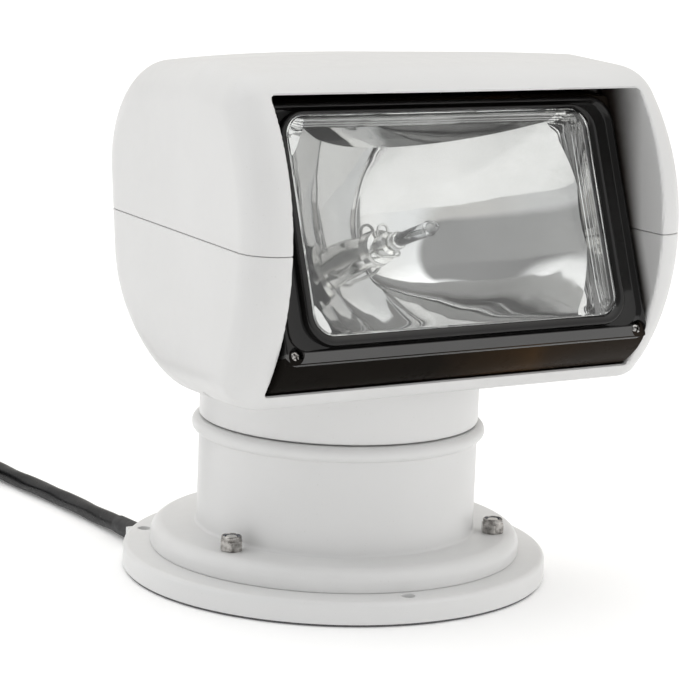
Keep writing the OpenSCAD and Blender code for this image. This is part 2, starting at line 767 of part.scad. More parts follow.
// Radius of the reflector bowl at a distance from its deepest point.
function bowl(s) = sqrt(4 * focal * s);
apex = -focus_f + focal;      // the deepest point of the bowl, behind the tilt axis
module bowl_solid(t) {
  // solid of revolution about the optical axis, open towards -Y
  translate([0, apex, 2]) rotate([90, 0, 0]) rotate_extrude($fn = 96)
    polygon(concat([[0, -t]], [for (i = [1 : 14]) let (s = i * i * 52.2 / 196) [bowl(s) + t, s]], [[0, 52.2]]));
}
module reflector() {
  h0 = -lens_bot + 1.6;
  h1 = lens_top - 1.6;
  color([0.86, 0.87, 0.88]) in_lamp() difference() {
    union() {
      intersection() {
        bowl_solid(1.2);
        translate([-lens_hw - 3, -11.4, h0 - 1.2]) cube([2 * lens_hw + 6, 60, h1 - h0 + 2.4]);
        xz(-11.4, 60) rrect(-lens_hw + 0.1, -lens_bot, lens_hw - 0.1, lens_top, 7);
      }
      translate([0, 0, 2]) ycyl(13, apex - 6, apex + 4);
    }
    intersection() {
      bowl_solid(0);
      translate([-lens_hw - 3, -40, h0]) cube([2 * lens_hw + 6, 120, h1 - h0]);
      xz(-40, 60) rrect(-lens_hw + 1.3, h0, lens_hw - 1.3, h1, 6);
    }
    translate([0, 0, 2]) ycyl(7, apex - 10, apex + 10);
  }
}

module bulb_glass() {
  color([0.90, 0.93, 0.95, 0.4]) in_lamp() translate([0, 0, 2]) rotate([90, 0, 0]) rotate_extrude() union() {
    translate([0, -apex + 12]) square([bulb_r, 22]);
    intersection() {
      translate([0, -apex + 34]) circle(r = bulb_r);
      translate([0, -apex + 33]) square([bulb_r, bulb_r + 0.8]);
    }
  }
}

module bulb_base() {
  color(steel) in_lamp() translate([0, 0, 2]) union() {
    ycyl(5, apex - 12, apex);
    ycyl(6.5, apex - 4, apex + 6);
    ycyl(10, apex + 4, apex + 5.2);
    ycyl(3, apex + 6, apex + 12);
  }
}

module bulb_clip() {
  color(steel) in_lamp() translate([0, 0, 2]) difference() {
    ycyl(12, apex + 5.2, apex + 6.2);
    ycyl(6.6, apex + 4, apex + 8);
    translate([-20, apex, -2]) cube([20, 20, 4]);
  }
}

module rear_boot() {
  color([0.07, 0.07, 0.07]) in_lamp() difference() {
    union() {
      ycyl(17, 47, 53);
      ycyl(18.5, 53, 55);
      translate([0, 55, 0]) rotate([-90, 0, 0]) cylinder(r1 = 17, r2 = 8, h = 8);
    }
    ycyl(15, 46, 54);
    translate([0, 54, 0]) rotate([-90, 0, 0]) cylinder(r1 = 14, r2 = 5, h = 8);
  }
}

deck_gasket();
deck_flange();
pedestal();
foot_studs();
foot_nuts();
nut_inserts();
thrust_washer();
pan_motor();
pan_motor_bracket();
pan_bracket_screws();
pan_pinion();
cable_grommet();
power_cable();
cable_coil();
coil_tie();
cable_connector();
connector_collar();
lower_shell();
upper_shell();
shell_screws();
pan_hub();
hub_screws();
pan_gear();
pan_gear_screws();
hub_grommet();
trunnion_bushes();
tilt_motor();
tilt_motor_bracket();
tilt_bracket_screws();
tilt_pinion();
terminal_block();
lamp_bucket();
trunnion_pins();
tilt_sector();
sector_screws();
bezel();
bezel_screws();
lens_glass();
lens_gasket();
reflector();
bulb_glass();
bulb_base();
bulb_clip();
rear_boot();
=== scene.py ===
"""Looks of a marine searchlight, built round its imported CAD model. Lengths below are in millimetres unless they say otherwise."""

import json
import math

import bmesh
import bpy
import numpy as np
from mathutils import Matrix, Vector

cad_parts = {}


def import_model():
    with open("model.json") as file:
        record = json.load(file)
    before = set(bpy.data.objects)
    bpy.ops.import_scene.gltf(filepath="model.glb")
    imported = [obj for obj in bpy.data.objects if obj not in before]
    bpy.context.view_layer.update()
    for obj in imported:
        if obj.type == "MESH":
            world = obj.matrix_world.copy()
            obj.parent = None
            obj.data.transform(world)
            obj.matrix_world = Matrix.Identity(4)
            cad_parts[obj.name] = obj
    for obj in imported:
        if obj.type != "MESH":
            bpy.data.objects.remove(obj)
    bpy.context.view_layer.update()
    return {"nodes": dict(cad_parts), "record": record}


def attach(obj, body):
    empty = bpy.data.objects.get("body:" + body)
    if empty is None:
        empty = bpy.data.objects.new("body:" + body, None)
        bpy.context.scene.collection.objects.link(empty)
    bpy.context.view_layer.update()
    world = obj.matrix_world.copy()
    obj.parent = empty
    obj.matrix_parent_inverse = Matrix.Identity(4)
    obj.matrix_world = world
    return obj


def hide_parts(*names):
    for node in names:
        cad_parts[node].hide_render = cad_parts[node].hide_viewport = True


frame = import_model()
NODE = frame["nodes"]
MM = 0.001
scene = bpy.context.scene

# ------------------------------------------------------------------ camera

CAM_AT = Vector((-0.52960, -0.83170, 0.27504))
CAM_FWD = Vector((0.52755, 0.82935, -0.18406)).normalized()


def make_camera():
    right = CAM_FWD.cross(Vector((0, 0, 1))).normalized()
    up = right.cross(CAM_FWD)
    roll = math.radians(2.10)
    r = right * math.cos(roll) + up * math.sin(roll)
    u = up * math.cos(roll) - right * math.sin(roll)
    data = bpy.data.cameras.new("camera")
    data.sensor_width = 36.0
    data.lens = 137.24
    data.clip_start, data.clip_end = 0.02, 100.0
    ob = bpy.data.objects.new("camera", data)
    ob.matrix_world = Matrix((
        (r.x, u.x, -CAM_FWD.x, CAM_AT.x),
        (r.y, u.y, -CAM_FWD.y, CAM_AT.y),
        (r.z, u.z, -CAM_FWD.z, CAM_AT.z),
        (0, 0, 0, 1)))
    scene.collection.objects.link(ob)
    scene.camera = ob


make_camera()

# ------------------------------------------------------------------ mesh tools


def obj(name, verts, faces, mat=None, sharp=35.0, merge=False):
    """A mesh object from points in millimetres in the row frame."""
    me = bpy.data.meshes.new(name)
    v = np.asarray(verts, float).reshape(-1, 3) * MM
    if isinstance(faces, np.ndarray):
        faces = faces.tolist()
    me.from_pydata(v.tolist(), [], faces)
    if merge:
        bm = bmesh.new()
        bm.from_mesh(me)
        bmesh.ops.remove_doubles(bm, verts=bm.verts, dist=2e-6)
        bmesh.ops.dissolve_degenerate(bm, edges=bm.edges, dist=1e-7)
        bmesh.ops.recalc_face_normals(bm, faces=bm.faces)
        bm.to_mesh(me)
        bm.free()
    me.validate()
    ob = bpy.data.objects.new(name, me)
    scene.collection.objects.link(ob)
    if mat is not None:
        me.materials.append(mat)
    finish_normals(ob, sharp)
    return ob


def finish_normals(ob, sharp):
    me = ob.data
    me.polygons.foreach_set("use_smooth", np.ones(len(me.polygons), bool))
    if sharp is not None and sharp < 180:
        me.set_sharp_from_angle(angle=math.radians(sharp))
    me.update()


def grid_faces(n, m, wrap_n=False, wrap_m=True, flip=False):
    """Quads of an n by m grid of points, stored row by row."""
    i = np.arange(n if wrap_n else n - 1)
    j = np.arange(m if wrap_m else m - 1)
    a, b = np.meshgrid(i, j, indexing="ij")
    a2, b2 = (a + 1) % n, (b + 1) % m
    q = np.stack([a * m + b, a * m + b2, a2 * m + b2, a2 * m + b], -1).reshape(-1, 4)
    return q[:, ::-1] if flip else q


def arc(cx, cy, r, a0, a1, n):
    a = np.radians(np.linspace(a0, a1, n + 1))
    return [(cx + r * math.cos(t), cy + r * math.sin(t)) for t in a]


def rounded(points, n=6):
    """A polyline whose corners (x, y, radius) turn into arcs. The first and last points stay as they are."""
    out = [points[0][:2]]
    for p0, p1, p2 in zip(points, points[1:], points[2:]):
        r = p1[2] if len(p1) > 2 else 0
        a, b, c = (np.array(p[:2], float) for p in (p0, p1, p2))
        if r <= 0:
            out.append(tuple(b))
            continue
        u, w = a - b, c - b
        lu, lw = np.linalg.norm(u), np.linalg.norm(w)
        u, w = u / lu, w / lw
        half = math.acos(max(-1, min(1, float(u @ w)))) / 2
        d = min(r / math.tan(half), lu * 0.98, lw * 0.98)
        r = d * math.tan(half)
        mid = (u + w) / np.linalg.norm(u + w)
        o = b + mid * (r / math.sin(half))
        s, e = b + u * d - o, b + w * d - o
        t0, t1 = math.atan2(s[1], s[0]), math.atan2(e[1], e[0])
        dt = (t1 - t0 + math.pi) % (2 * math.pi) - math.pi
        out += [(o[0] + r * math.cos(t0 + dt * k / n), o[1] + r * math.sin(t0 + dt * k / n)) for k in range(n + 1)]
    out.append(points[-1][:2])
    return out


def lathe_points(profile, seg):
    p = np.array(profile, float)
    a = np.arange(seg) * 2 * math.pi / seg
    return np.stack([p[:, 0, None] * np.cos(a), p[:, 0, None] * np.sin(a), np.repeat(p[:, 1, None], seg, 1)], -1)


def lathe(name, profile, seg, mat, closed=False, place=None, sharp=35.0):
    """A turned piece from (radius, height) points; place maps its points into the row frame."""
    v = lathe_points(profile, seg)
    n = len(profile)
    f = grid_faces(n, seg, wrap_n=closed)
    v = v.reshape(-1, 3)
    if place is not None:
        v = place(v)
    return obj(name, v, f, mat, sharp, merge=True)


def boolean(ob, cutter, op="DIFFERENCE", sharp=35.0):
    m = ob.modifiers.new("cut", "BOOLEAN")
    m.operation, m.object, m.solver = op, cutter, "EXACT"
    dg = bpy.context.evaluated_depsgraph_get()
    me = bpy.data.meshes.new_from_object(ob.evaluated_get(dg))
    ob.modifiers.clear()
    old = ob.data
    ob.data = me
    bpy.data.meshes.remove(old)
    bpy.data.objects.remove(cutter)
    finish_normals(ob, sharp)
    return ob


def join(name, obs):
    """One object out of several, with their materials."""
    bm = bmesh.new()
    mats = []
    for o in obs:
        me = o.data
        for m in me.materials:
            if m not in mats:
                mats.append(m)
        idx = [mats.index(m) for m in me.materials] or [0]
        k = len(bm.faces)
        bm.from_mesh(me)
        bm.faces.ensure_lookup_table()
        for f in bm.faces[k:]:
            f.material_index = idx[min(f.material_index, len(idx) - 1)]
    me = bpy.data.meshes.new(name)
    bm.to_mesh(me)
    bm.free()
    for m in mats:
        me.materials.append(m)
    for o in obs:
        bpy.data.objects.remove(o)
    ob = bpy.data.objects.new(name, me)
    scene.collection.objects.link(ob)
    return ob


# ------------------------------------------------------------------ materials


def nodes(name):
    m = bpy.data.materials.new(name)
    m.use_nodes = True
    nt = m.node_tree
    return m, nt, nt.nodes["Principled BSDF"]


def add(nt, kind, **sockets):
    n = nt.nodes.new(kind)
    for k, v in sockets.items():
        n.inputs[k.replace("_", " ")].default_value = v
    return n


def noise(nt, coord, scale, detail=3.0, rough=0.5, stretch=None):
    src = coord
    if stretch is not None:
        mp = nt.nodes.new("ShaderNodeMapping")
        mp.inputs["Scale"].default_value = stretch
        nt.links.new(coord, mp.inputs["Vector"])
        src = mp.outputs["Vector"]
    t = nt.nodes.new("ShaderNodeTexNoise")
    t.inputs["Scale"].default_value = scale
    t.inputs["Detail"].default_value = detail
    t.inputs["Roughness"].default_value = rough
    nt.links.new(src, t.inputs["Vector"])
    return t.outputs["Fac"]


def ramp(nt, fac, stops):
    r = nt.nodes.new("ShaderNodeValToRGB")
    el = r.color_ramp.elements
    while len(el) < len(stops):
        el.new(0.5)
    for e, (p, c) in zip(el, stops):
        e.position = p
        e.color = (*c, 1.0) if len(c) == 3 else c
    nt.links.new(fac, r.inputs["Fac"])
    return r.outputs["Color"]


def spread(nt, fac, lo, hi, a=0.3, b=0.7):
    m = nt.nodes.new("ShaderNodeMapRange")
    m.inputs["From Min"].default_value, m.inputs["From Max"].default_value = a, b
    m.inputs["To Min"].default_value, m.inputs["To Max"].default_value = lo, hi
    nt.links.new(fac, m.inputs["Value"])
    return m.outputs["Result"]


def bump(nt, height, strength, distance, normal=None):
    b = nt.nodes.new("ShaderNodeBump")
    b.inputs["Strength"].default_value = strength
    b.inputs["Distance"].default_value = distance
    nt.links.new(height, b.inputs["Height"])
    if normal is not None:
        nt.links.new(normal, b.inputs["Normal"])
    return b.outputs["Normal"]


def coords(nt):
    return nt.nodes.new("ShaderNodeTexCoord").outputs["Object"]


def surface(name, dark, light, rough, scale=30.0, rough_scale=220.0, metal=0.0, bump_scale=700.0, bump_strength=0.05,
            bump_distance=0.0001, stretch=None, coat=0.0, coat_rough=0.08, ior=1.5, detail=4.0):
    """A finish with cloudy colour, uneven shine and a fine texture. Scales are per metre."""
    m, nt, b = nodes(name)
    c = coords(nt)
    nt.links.new(ramp(nt, noise(nt, c, scale, detail), [(0.35, dark), (0.65, light)]), b.inputs["Base Color"])
    nt.links.new(spread(nt, noise(nt, c, rough_scale, 5.0, 0.6, stretch), rough[0], rough[1]), b.inputs["Roughness"])
    nt.links.new(bump(nt, noise(nt, c, bump_scale, 2.0, 0.5, stretch), bump_strength, bump_distance), b.inputs["Normal"])
    b.inputs["Metallic"].default_value = metal
    b.inputs["IOR"].default_value = ior
    b.inputs["Coat Weight"].default_value = coat
    b.inputs["Coat Roughness"].default_value = coat_rough
    return m


def shell_material(name, k):
    """White moulding: cloudy white, uneven semi-gloss, faint orange peel; the deep inside of the head is darkened with
    painted shade, placed by the inside attribute.
    """
    m, nt, b = nodes(name)
    c = coords(nt)
    # k scales the white, so each copy of this material carries painted light or shade
    white = ramp(nt, noise(nt, c, 16.0, 4.0), [(0.3, (0.655 * k, 0.655 * k, 0.652 * k)), (0.7, (0.685 * k, 0.685 * k, 0.682 * k))])
    speck = ramp(nt, noise(nt, c, 1500.0, 1.0), [(0.73, (1.0, 1.0, 1.0)), (0.80, (0.90, 0.895, 0.88))])
    mul = nt.nodes.new("ShaderNodeMix")
    mul.data_type, mul.blend_type = "RGBA", "MULTIPLY"
    mul.inputs["Factor"].default_value = 1.0
    nt.links.new(white, mul.inputs["A"])
    nt.links.new(speck, mul.inputs["B"])
    # painted shade: a brown-black that stands in for the shadow deep inside the head, placed by the inside attribute
    # with a noisy edge
    dark = ramp(nt, noise(nt, c, 60.0, 4.0), [(0.3, (0.026, 0.021, 0.018)), (0.7, (0.040, 0.031, 0.026))])
    at = nt.nodes.new("ShaderNodeAttribute")
    at.attribute_name = "inside"
    edge = nt.nodes.new("ShaderNodeMath")
    edge.operation = "MULTIPLY_ADD"
    nt.links.new(noise(nt, c, 240.0, 4.0), edge.inputs[0])
    edge.inputs[1].default_value = 0.08
    nt.links.new(at.outputs["Fac"], edge.inputs[2])
    mask = spread(nt, edge.outputs[0], 0.0, 1.0, 0.07, 1.0)
    mix = nt.nodes.new("ShaderNodeMix")
    mix.data_type = "RGBA"
    nt.links.new(mask, mix.inputs["Factor"])
    nt.links.new(mul.outputs["Result"], mix.inputs["A"])
    nt.links.new(dark, mix.inputs["B"])
    nt.links.new(mix.outputs["Result"], b.inputs["Base Color"])
    nt.links.new(spread(nt, noise(nt, c, 180.0, 6.0, 0.65), 0.30, 0.42), b.inputs["Roughness"])
    nt.links.new(bump(nt, noise(nt, c, 620.0, 2.0), 0.05, 0.00012), b.inputs["Normal"])
    b.inputs["Specular IOR Level"].default_value = 0.45
    return m


def drum_material():
    """Near-black moulding with a painted warm reflection: a little lighter and browner to one side."""
    m, nt, b = nodes("black_drum_painted_reflection")
    c = coords(nt)
    sep = nt.nodes.new("ShaderNodeSeparateXYZ")
    nt.links.new(c, sep.inputs[0])
    painted_reflection_band = nt.nodes.new("ShaderNodeMath")
    painted_reflection_band.operation = "MULTIPLY_ADD"
    nt.links.new(noise(nt, c, 26.0, 4.0), painted_reflection_band.inputs[0])
    painted_reflection_band.inputs[1].default_value = 0.05
    nt.links.new(sep.outputs["X"], painted_reflection_band.inputs[2])
    # the browner stops of this ramp are the painted reflection, laid out across X
    nt.links.new(ramp(nt, spread(nt, painted_reflection_band.outputs[0], 0.0, 1.0, -0.06, 0.09), [
        (0.1, (0.0090, 0.0080, 0.0070)), (0.42, (0.0100, 0.0084, 0.0070)), (0.66, (0.0240, 0.0155, 0.0092)), (0.77, (0.0380, 0.0225, 0.0110)),
        (0.84, (0.0250, 0.0175, 0.0120)), (0.95, (0.0220, 0.0175, 0.0140))]), b.inputs["Base Color"])
    nt.links.new(spread(nt, noise(nt, c, 130.0, 5.0, 0.6), 0.24, 0.36), b.inputs["Roughness"])
    nt.links.new(bump(nt, noise(nt, c, 120.0, 2.0), 0.02, 0.00012), b.inputs["Normal"])
    b.inputs["Specular IOR Level"].default_value = 0.004
    return m


def lens_material():
    m, nt, b = nodes("clear_glass")
    c = coords(nt)
    b.inputs["Transmission Weight"].default_value = 1.0
    b.inputs["IOR"].default_value = 1.49
    nt.links.new(ramp(nt, noise(nt, c, 25.0, 2.0), [(0.3, (0.975, 0.985, 0.982)), (0.7, (0.99, 0.995, 0.993))]), b.inputs["Base Color"])
    nt.links.new(spread(nt, noise(nt, c, 140.0, 5.0, 0.7), 0.0, 0.018, 0.45, 0.8), b.inputs["Roughness"])
    nt.links.new(bump(nt, noise(nt, c, 22.0, 1.0), 0.04, 0.0006), b.inputs["Normal"])
    return m


def chrome_material(name, dark, light):
    m, nt, b = nodes(name)
    c = coords(nt)
    b.inputs["Metallic"].default_value = 1.0
    nt.links.new(ramp(nt, noise(nt, c, 45.0, 4.0), [(0.3, dark), (0.7, light)]), b.inputs["Base Color"])
    nt.links.new(spread(nt, noise(nt, c, 70.0, 4.0, 0.6), 0.02, 0.06), b.inputs["Roughness"])
    wavy = bump(nt, noise(nt, c, 34.0, 2.0), 0.22, 0.0012)
    fine = bump(nt, noise(nt, c, 900.0, 2.0), 0.006, 0.0001, wavy)
    nt.links.new(fine, b.inputs["Normal"])
    return m


def brushed(name, dark, light, rough, scale=900.0):
    return surface(name, dark, light, rough, scale=120.0, rough_scale=scale, metal=1.0, bump_scale=scale, bump_strength=0.08,
                   bump_distance=0.00008, stretch=(1.0, 1.0, 0.12))


def cable_material():
    """Black sheath with fine lengthwise streaks and dusty scuffs."""
    m = surface("cable_sheath", (0.005, 0.005, 0.0055), (0.010, 0.010, 0.011), (0.24, 0.40), scale=180.0, rough_scale=380.0,
                bump_scale=1500.0, bump_strength=0.12, bump_distance=0.0001)
    m.node_tree.nodes["Principled BSDF"].inputs["Specular IOR Level"].default_value = 0.20
    return m


def thin_glass(name):
    """Thin blown glass, clear with a faint haze."""
    m, nt, b = nodes(name)
    c = coords(nt)
    b.inputs["Transmission Weight"].default_value = 1.0
    b.inputs["IOR"].default_value = 1.5
    nt.links.new(ramp(nt, noise(nt, c, 160.0, 2.0), [(0.3, (0.90, 0.91, 0.91)), (0.7, (0.95, 0.95, 0.95))]), b.inputs["Base Color"])
    nt.links.new(spread(nt, noise(nt, c, 300.0, 4.0), 0.01, 0.05), b.inputs["Roughness"])
    nt.links.new(bump(nt, noise(nt, c, 160.0, 1.0), 0.05, 0.0002), b.inputs["Normal"])
    return m


# One white plastic in two copies: the base's copy is lighter, painted light for the overhead light that the head keeps
# off the base, and the head's copy is a little darker, painted shade that tones down how bright the head comes out.
WHITE = shell_material("white_moulding", 0.965)
BASE_WHITE_LIGHTENED = shell_material("white_base_moulding_lightened", 1.05)
GLOSS = surface("black_gloss", (0.0060, 0.0056, 0.0054), (0.0090, 0.0086, 0.0084), (0.05, 0.11), scale=40.0, rough_scale=160.0,
                bump_scale=420.0, bump_strength=0.03, bump_distance=0.00012)
GLOSS.node_tree.nodes["Principled BSDF"].inputs["Specular IOR Level"].default_value = 0.30
BAR = surface("black_gloss_bar", (0.0065, 0.0060, 0.0058), (0.0095, 0.0090, 0.0088), (0.07, 0.14), scale=40.0, rough_scale=160.0,
              bump_scale=420.0, bump_strength=0.03, bump_distance=0.00012)
BAR.node_tree.nodes["Principled BSDF"].inputs["Specular IOR Level"].default_value = 0.95
SKIRT = drum_material()
MATTE = surface("black_moulding", (0.018, 0.018, 0.019), (0.030, 0.030, 0.031), (0.42, 0.60), scale=70.0, rough_scale=300.0,
                bump_scale=1400.0, bump_strength=0.16, bump_distance=0.0001)
RUBBER = surface("black_rubber", (0.014, 0.014, 0.015), (0.026, 0.026, 0.027), (0.50, 0.68), scale=120.0, rough_scale=420.0,
                 bump_scale=1800.0, bump_strength=0.2, bump_distance=0.0001)
FOAM = surface("gasket_foam", (0.085, 0.085, 0.088), (0.14, 0.14, 0.145), (0.78, 0.95), scale=500.0, rough_scale=700.0,
               bump_scale=1600.0, bump_strength=0.6, bump_distance=0.0003)
STEEL = brushed("stainless", (0.46, 0.45, 0.43), (0.60, 0.59, 0.57), (0.14, 0.30))
NUT_STEEL = surface("nut_stainless", (0.13, 0.122, 0.115), (0.50, 0.485, 0.465), (0.10, 0.22), scale=430.0, rough_scale=900.0, metal=1.0,
                    bump_scale=900.0, bump_strength=0.10, bump_distance=0.00008)
DARK_STEEL = brushed("dark_steel", (0.30, 0.29, 0.28), (0.44, 0.43, 0.42), (0.14, 0.26))
ZINC = brushed("zinc_steel", (0.55, 0.56, 0.57), (0.66, 0.67, 0.66), (0.28, 0.5))
CAN = brushed("motor_can", (0.42, 0.43, 0.44), (0.55, 0.56, 0.57), (0.25, 0.42))
NYLON = surface("nylon", (0.70, 0.68, 0.58), (0.80, 0.78, 0.70), (0.36, 0.52), scale=90.0, rough_scale=300.0,
                bump_scale=900.0, bump_strength=0.08)
INSERT = surface("insert_nylon", (0.030, 0.036, 0.052), (0.055, 0.062, 0.085), (0.35, 0.5), scale=900.0, rough_scale=900.0,
                 bump_scale=2500.0, bump_strength=0.15)
GLASS = lens_material()
CHROME = chrome_material("bright_reflector", (0.635, 0.635, 0.63), (0.695, 0.695, 0.69))
WALLS = chrome_material("bright_reflector_walls", (0.83, 0.83, 0.825), (0.88, 0.88, 0.875))
# painted shade: darker chrome for the upper edge of the reflector's frame
RIM_PAINTED_SHADE = chrome_material("shaded_reflector_rim", (0.27, 0.27, 0.268), (0.36, 0.36, 0.357))
SHEATH = cable_material()
PLATE = brushed("plated_holder", (0.66, 0.66, 0.65), (0.80, 0.80, 0.78), (0.10, 0.22))
BULB = thin_glass("bulb_glass")

FINISH = {
    "white_shell": WHITE, "black_gloss": GLOSS, "black_rubber": RUBBER, "stainless": STEEL, "zinc_steel": ZINC, "nylon": NYLON,
    "glass": GLASS, "reflector": CHROME, "gasket_foam": FOAM, "cable_sheath": SHEATH, "motor_can": CAN, "black_matte": MATTE,
    "insert_nylon": INSERT,
}

# ------------------------------------------------------------------ power cable

COIL_C, COIL_R, TURN = (-108.0, 222.0), 40.0, 7.1
ROUTE = [(-54.5, 64.5, 4.2), (-54.5, 68, 4.2), (-54.5, 80, 3.9), (-54.7, 95, 3.6), (-55.1, 112, 3.6), (-55.8, 130, 3.6), (-56.9, 148, 3.6),
         (-58.2, 166, 3.6), (-59.2, 182, 3.8), (-60, 195.5, 4.2)]


def smooth_line(points, step):
    """Points every step along a cubic through the given ones."""
    p = np.array(points, float)
    d = np.concatenate([[0], np.cumsum(np.linalg.norm(np.diff(p, axis=0), axis=1))])
    m = np.gradient(p, d, axis=0)
    out = []
    n = max(2, int(round(d[-1] / step)))
    for s in np.linspace(0, d[-1], n + 1):
        k = min(len(d) - 2, int(np.searchsorted(d, s, side="right") - 1))
        h = d[k + 1] - d[k]
        t = (s - d[k]) / h
        out.append((2 * t**3 - 3 * t**2 + 1) * p[k] + (t**3 - 2 * t**2 + t) * h * m[k]
                   + (-2 * t**3 + 3 * t**2) * p[k + 1] + (t**3 - t**2) * h * m[k + 1])
    return np.array(out)


def cable_line():
    """The whole centreline: straight out of the grommet, along the deck, four and a half turns, and into the connector."""
    pts = [p for p in ROUTE] + [(-60.6, 207, 4.3), (-61.0, 218, 4.3)]
    # (turned angle, radius, height) of the coil, in degrees
    marks = [(7, 47.1, 4.3), (225, 47.1, 4.3), (367, 40, 4.3), (575, 40, 4.3), (727, 32.9, 4.3), (880, 32.9, 4.3), (1010, 34, 11.4),
             (1060, 35.2, 11.4), (1130, 36.45, 10.6), (1200, 40, 11.4), (1270, 43.55, 11.3), (1435, 43.55, 11.3), (1545, 43.0, 19.5), (1615, 40.0, 22.8)]
    ang = [m[0] for m in marks]
    for a in list(np.arange(7, 1610, 9.0)) + [1615.0]:
        k = min(len(ang) - 2, int(np.searchsorted(ang, a, side="right") - 1))
        t = (a - ang[k]) / (ang[k + 1] - ang[k])
        t = t * t * (3 - 2 * t)
        r = marks[k][1] + (marks[k + 1][1] - marks[k][1]) * t
        z = marks[k][2] + (marks[k + 1][2] - marks[k][2]) * t
        pts.append((COIL_C[0] + r * math.cos(math.radians(a)), COIL_C[1] + r * math.sin(math.radians(a)), z))
    # straight into the connector, which lies off the coil at 175 degrees
    e, t = (math.cos(math.radians(175)), math.sin(math.radians(175))), (-math.sin(math.radians(175)), math.cos(math.radians(175)))
    for y in (4.0, 7.5):
        pts.append((COIL_C[0] + COIL_R * e[0] + y * t[0], COIL_C[1] + COIL_R * e[1] + y * t[1], 22.8))
    return smooth_line(pts, 1.6)


def sweep(line, radius, sides, lobes=0, depth=0.0, pitch=60.0):
    """A tube along a line; lobes of depth run round it once a pitch, as the cores show through a sheath."""
    n = len(line)
    t = np.gradient(line, axis=0)
    t /= np.linalg.norm(t, axis=1)[:, None]
    u = np.cross(t, (0, 0, 1.0))
    u /= np.linalg.norm(u, axis=1)[:, None]
    w = np.cross(u, t)
    s = np.concatenate([[0], np.cumsum(np.linalg.norm(np.diff(line, axis=0), axis=1))])
    a = np.arange(sides) * 2 * math.pi / sides
    r = radius + depth * np.cos(lobes * a[None, :] - 2 * math.pi * lobes * s[:, None] / pitch / max(lobes, 1) * 1.0)
    v = line[:, None, :] + r[..., None] * (u[:, None, :] * np.cos(a)[None, :, None] + w[:, None, :] * np.sin(a)[None, :, None])
    f = grid_faces(n, sides).tolist()
    f.append(list(range(sides))[::-1])
    f.append([(n - 1) * sides + j for j in range(sides)])
    return v.reshape(-1, 3), f


LINE = cable_line()
v, f = sweep(LINE, 3.42, 20, lobes=3, depth=0.14, pitch=34.0)
cable = obj("power_cable_sheath", v, f, SHEATH, sharp=60)
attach(cable, "base")
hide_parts("power_cable", "cable_coil")

# ------------------------------------------------------------------ head shells

SEAM = 141.0
FRONT_C, FRONT_R = (-3.5, 141.0), 90.0
HEAD_HW, TAPER, SIDE_R, WALL = 94.1, math.radians(5.0), 14.0, 3.0
OPEN_HW, OPEN_Z0, OPEN_Z1 = 79.6, 89.4, 193.7
BOSSES = [(66.0, 27.0, 3.0), (82.0, -44.0, 2.5)]
BOW = 16.8


def convex(points):
    """Corners of the hull of some points, counter-clockwise."""
    p = sorted({(round(float(x), 4), round(float(y), 4)) for x, y in points})

    def half(q):
        h = []
        for c in q:
            while len(h) > 1 and (h[-1][0] - h[-2][0]) * (c[1] - h[-2][1]) - (h[-1][1] - h[-2][1]) * (c[0] - h[-2][0]) <= 0:
                h.pop()
            h.append(c)
        return h[:-1]
    return np.array(half(p) + half(p[::-1]))


def side_outline(back):
    """Side view of the head, Y across and Z up, with its rear moved out by back."""
    pts = arc(FRONT_C[0], FRONT_C[1], FRONT_R, 180 - 38, 180 + 34, 90)
    for y, z, r in ((-60.5, 185, 18), (-35, 186.5, 18), (4 + back, 160, 40), (-16 + back, 135, 56), (-70.6, 87.6, 4)):
        pts += arc(y, z, r, 0, 360, 200)
    return convex(pts)


def outline_distance(poly, y, z):
    """Signed distance to a convex outline, below zero inside."""
    a, b = poly, np.roll(poly, -1, axis=0)
    e = b - a
    ln = np.linalg.norm(e, axis=1)
    keep = ln > 1e-6
    a, e, ln = a[keep], e[keep], ln[keep]
    best = np.full(y.shape, 1e18)
    side = np.full(y.shape, -1e18)
    for (ay, az), (ey, ez), l in zip(a, e, ln):
        dy, dz = y - ay, z - az
        t = np.clip((dy * ey + dz * ez) / (l * l), 0, 1)
        best = np.minimum(best, (dy - t * ey) ** 2 + (dz - t * ez) ** 2)
        side = np.maximum(side, (dy * ez - dz * ey) / l)
    return np.where(side > 0, 1.0, -1.0) * np.sqrt(best)


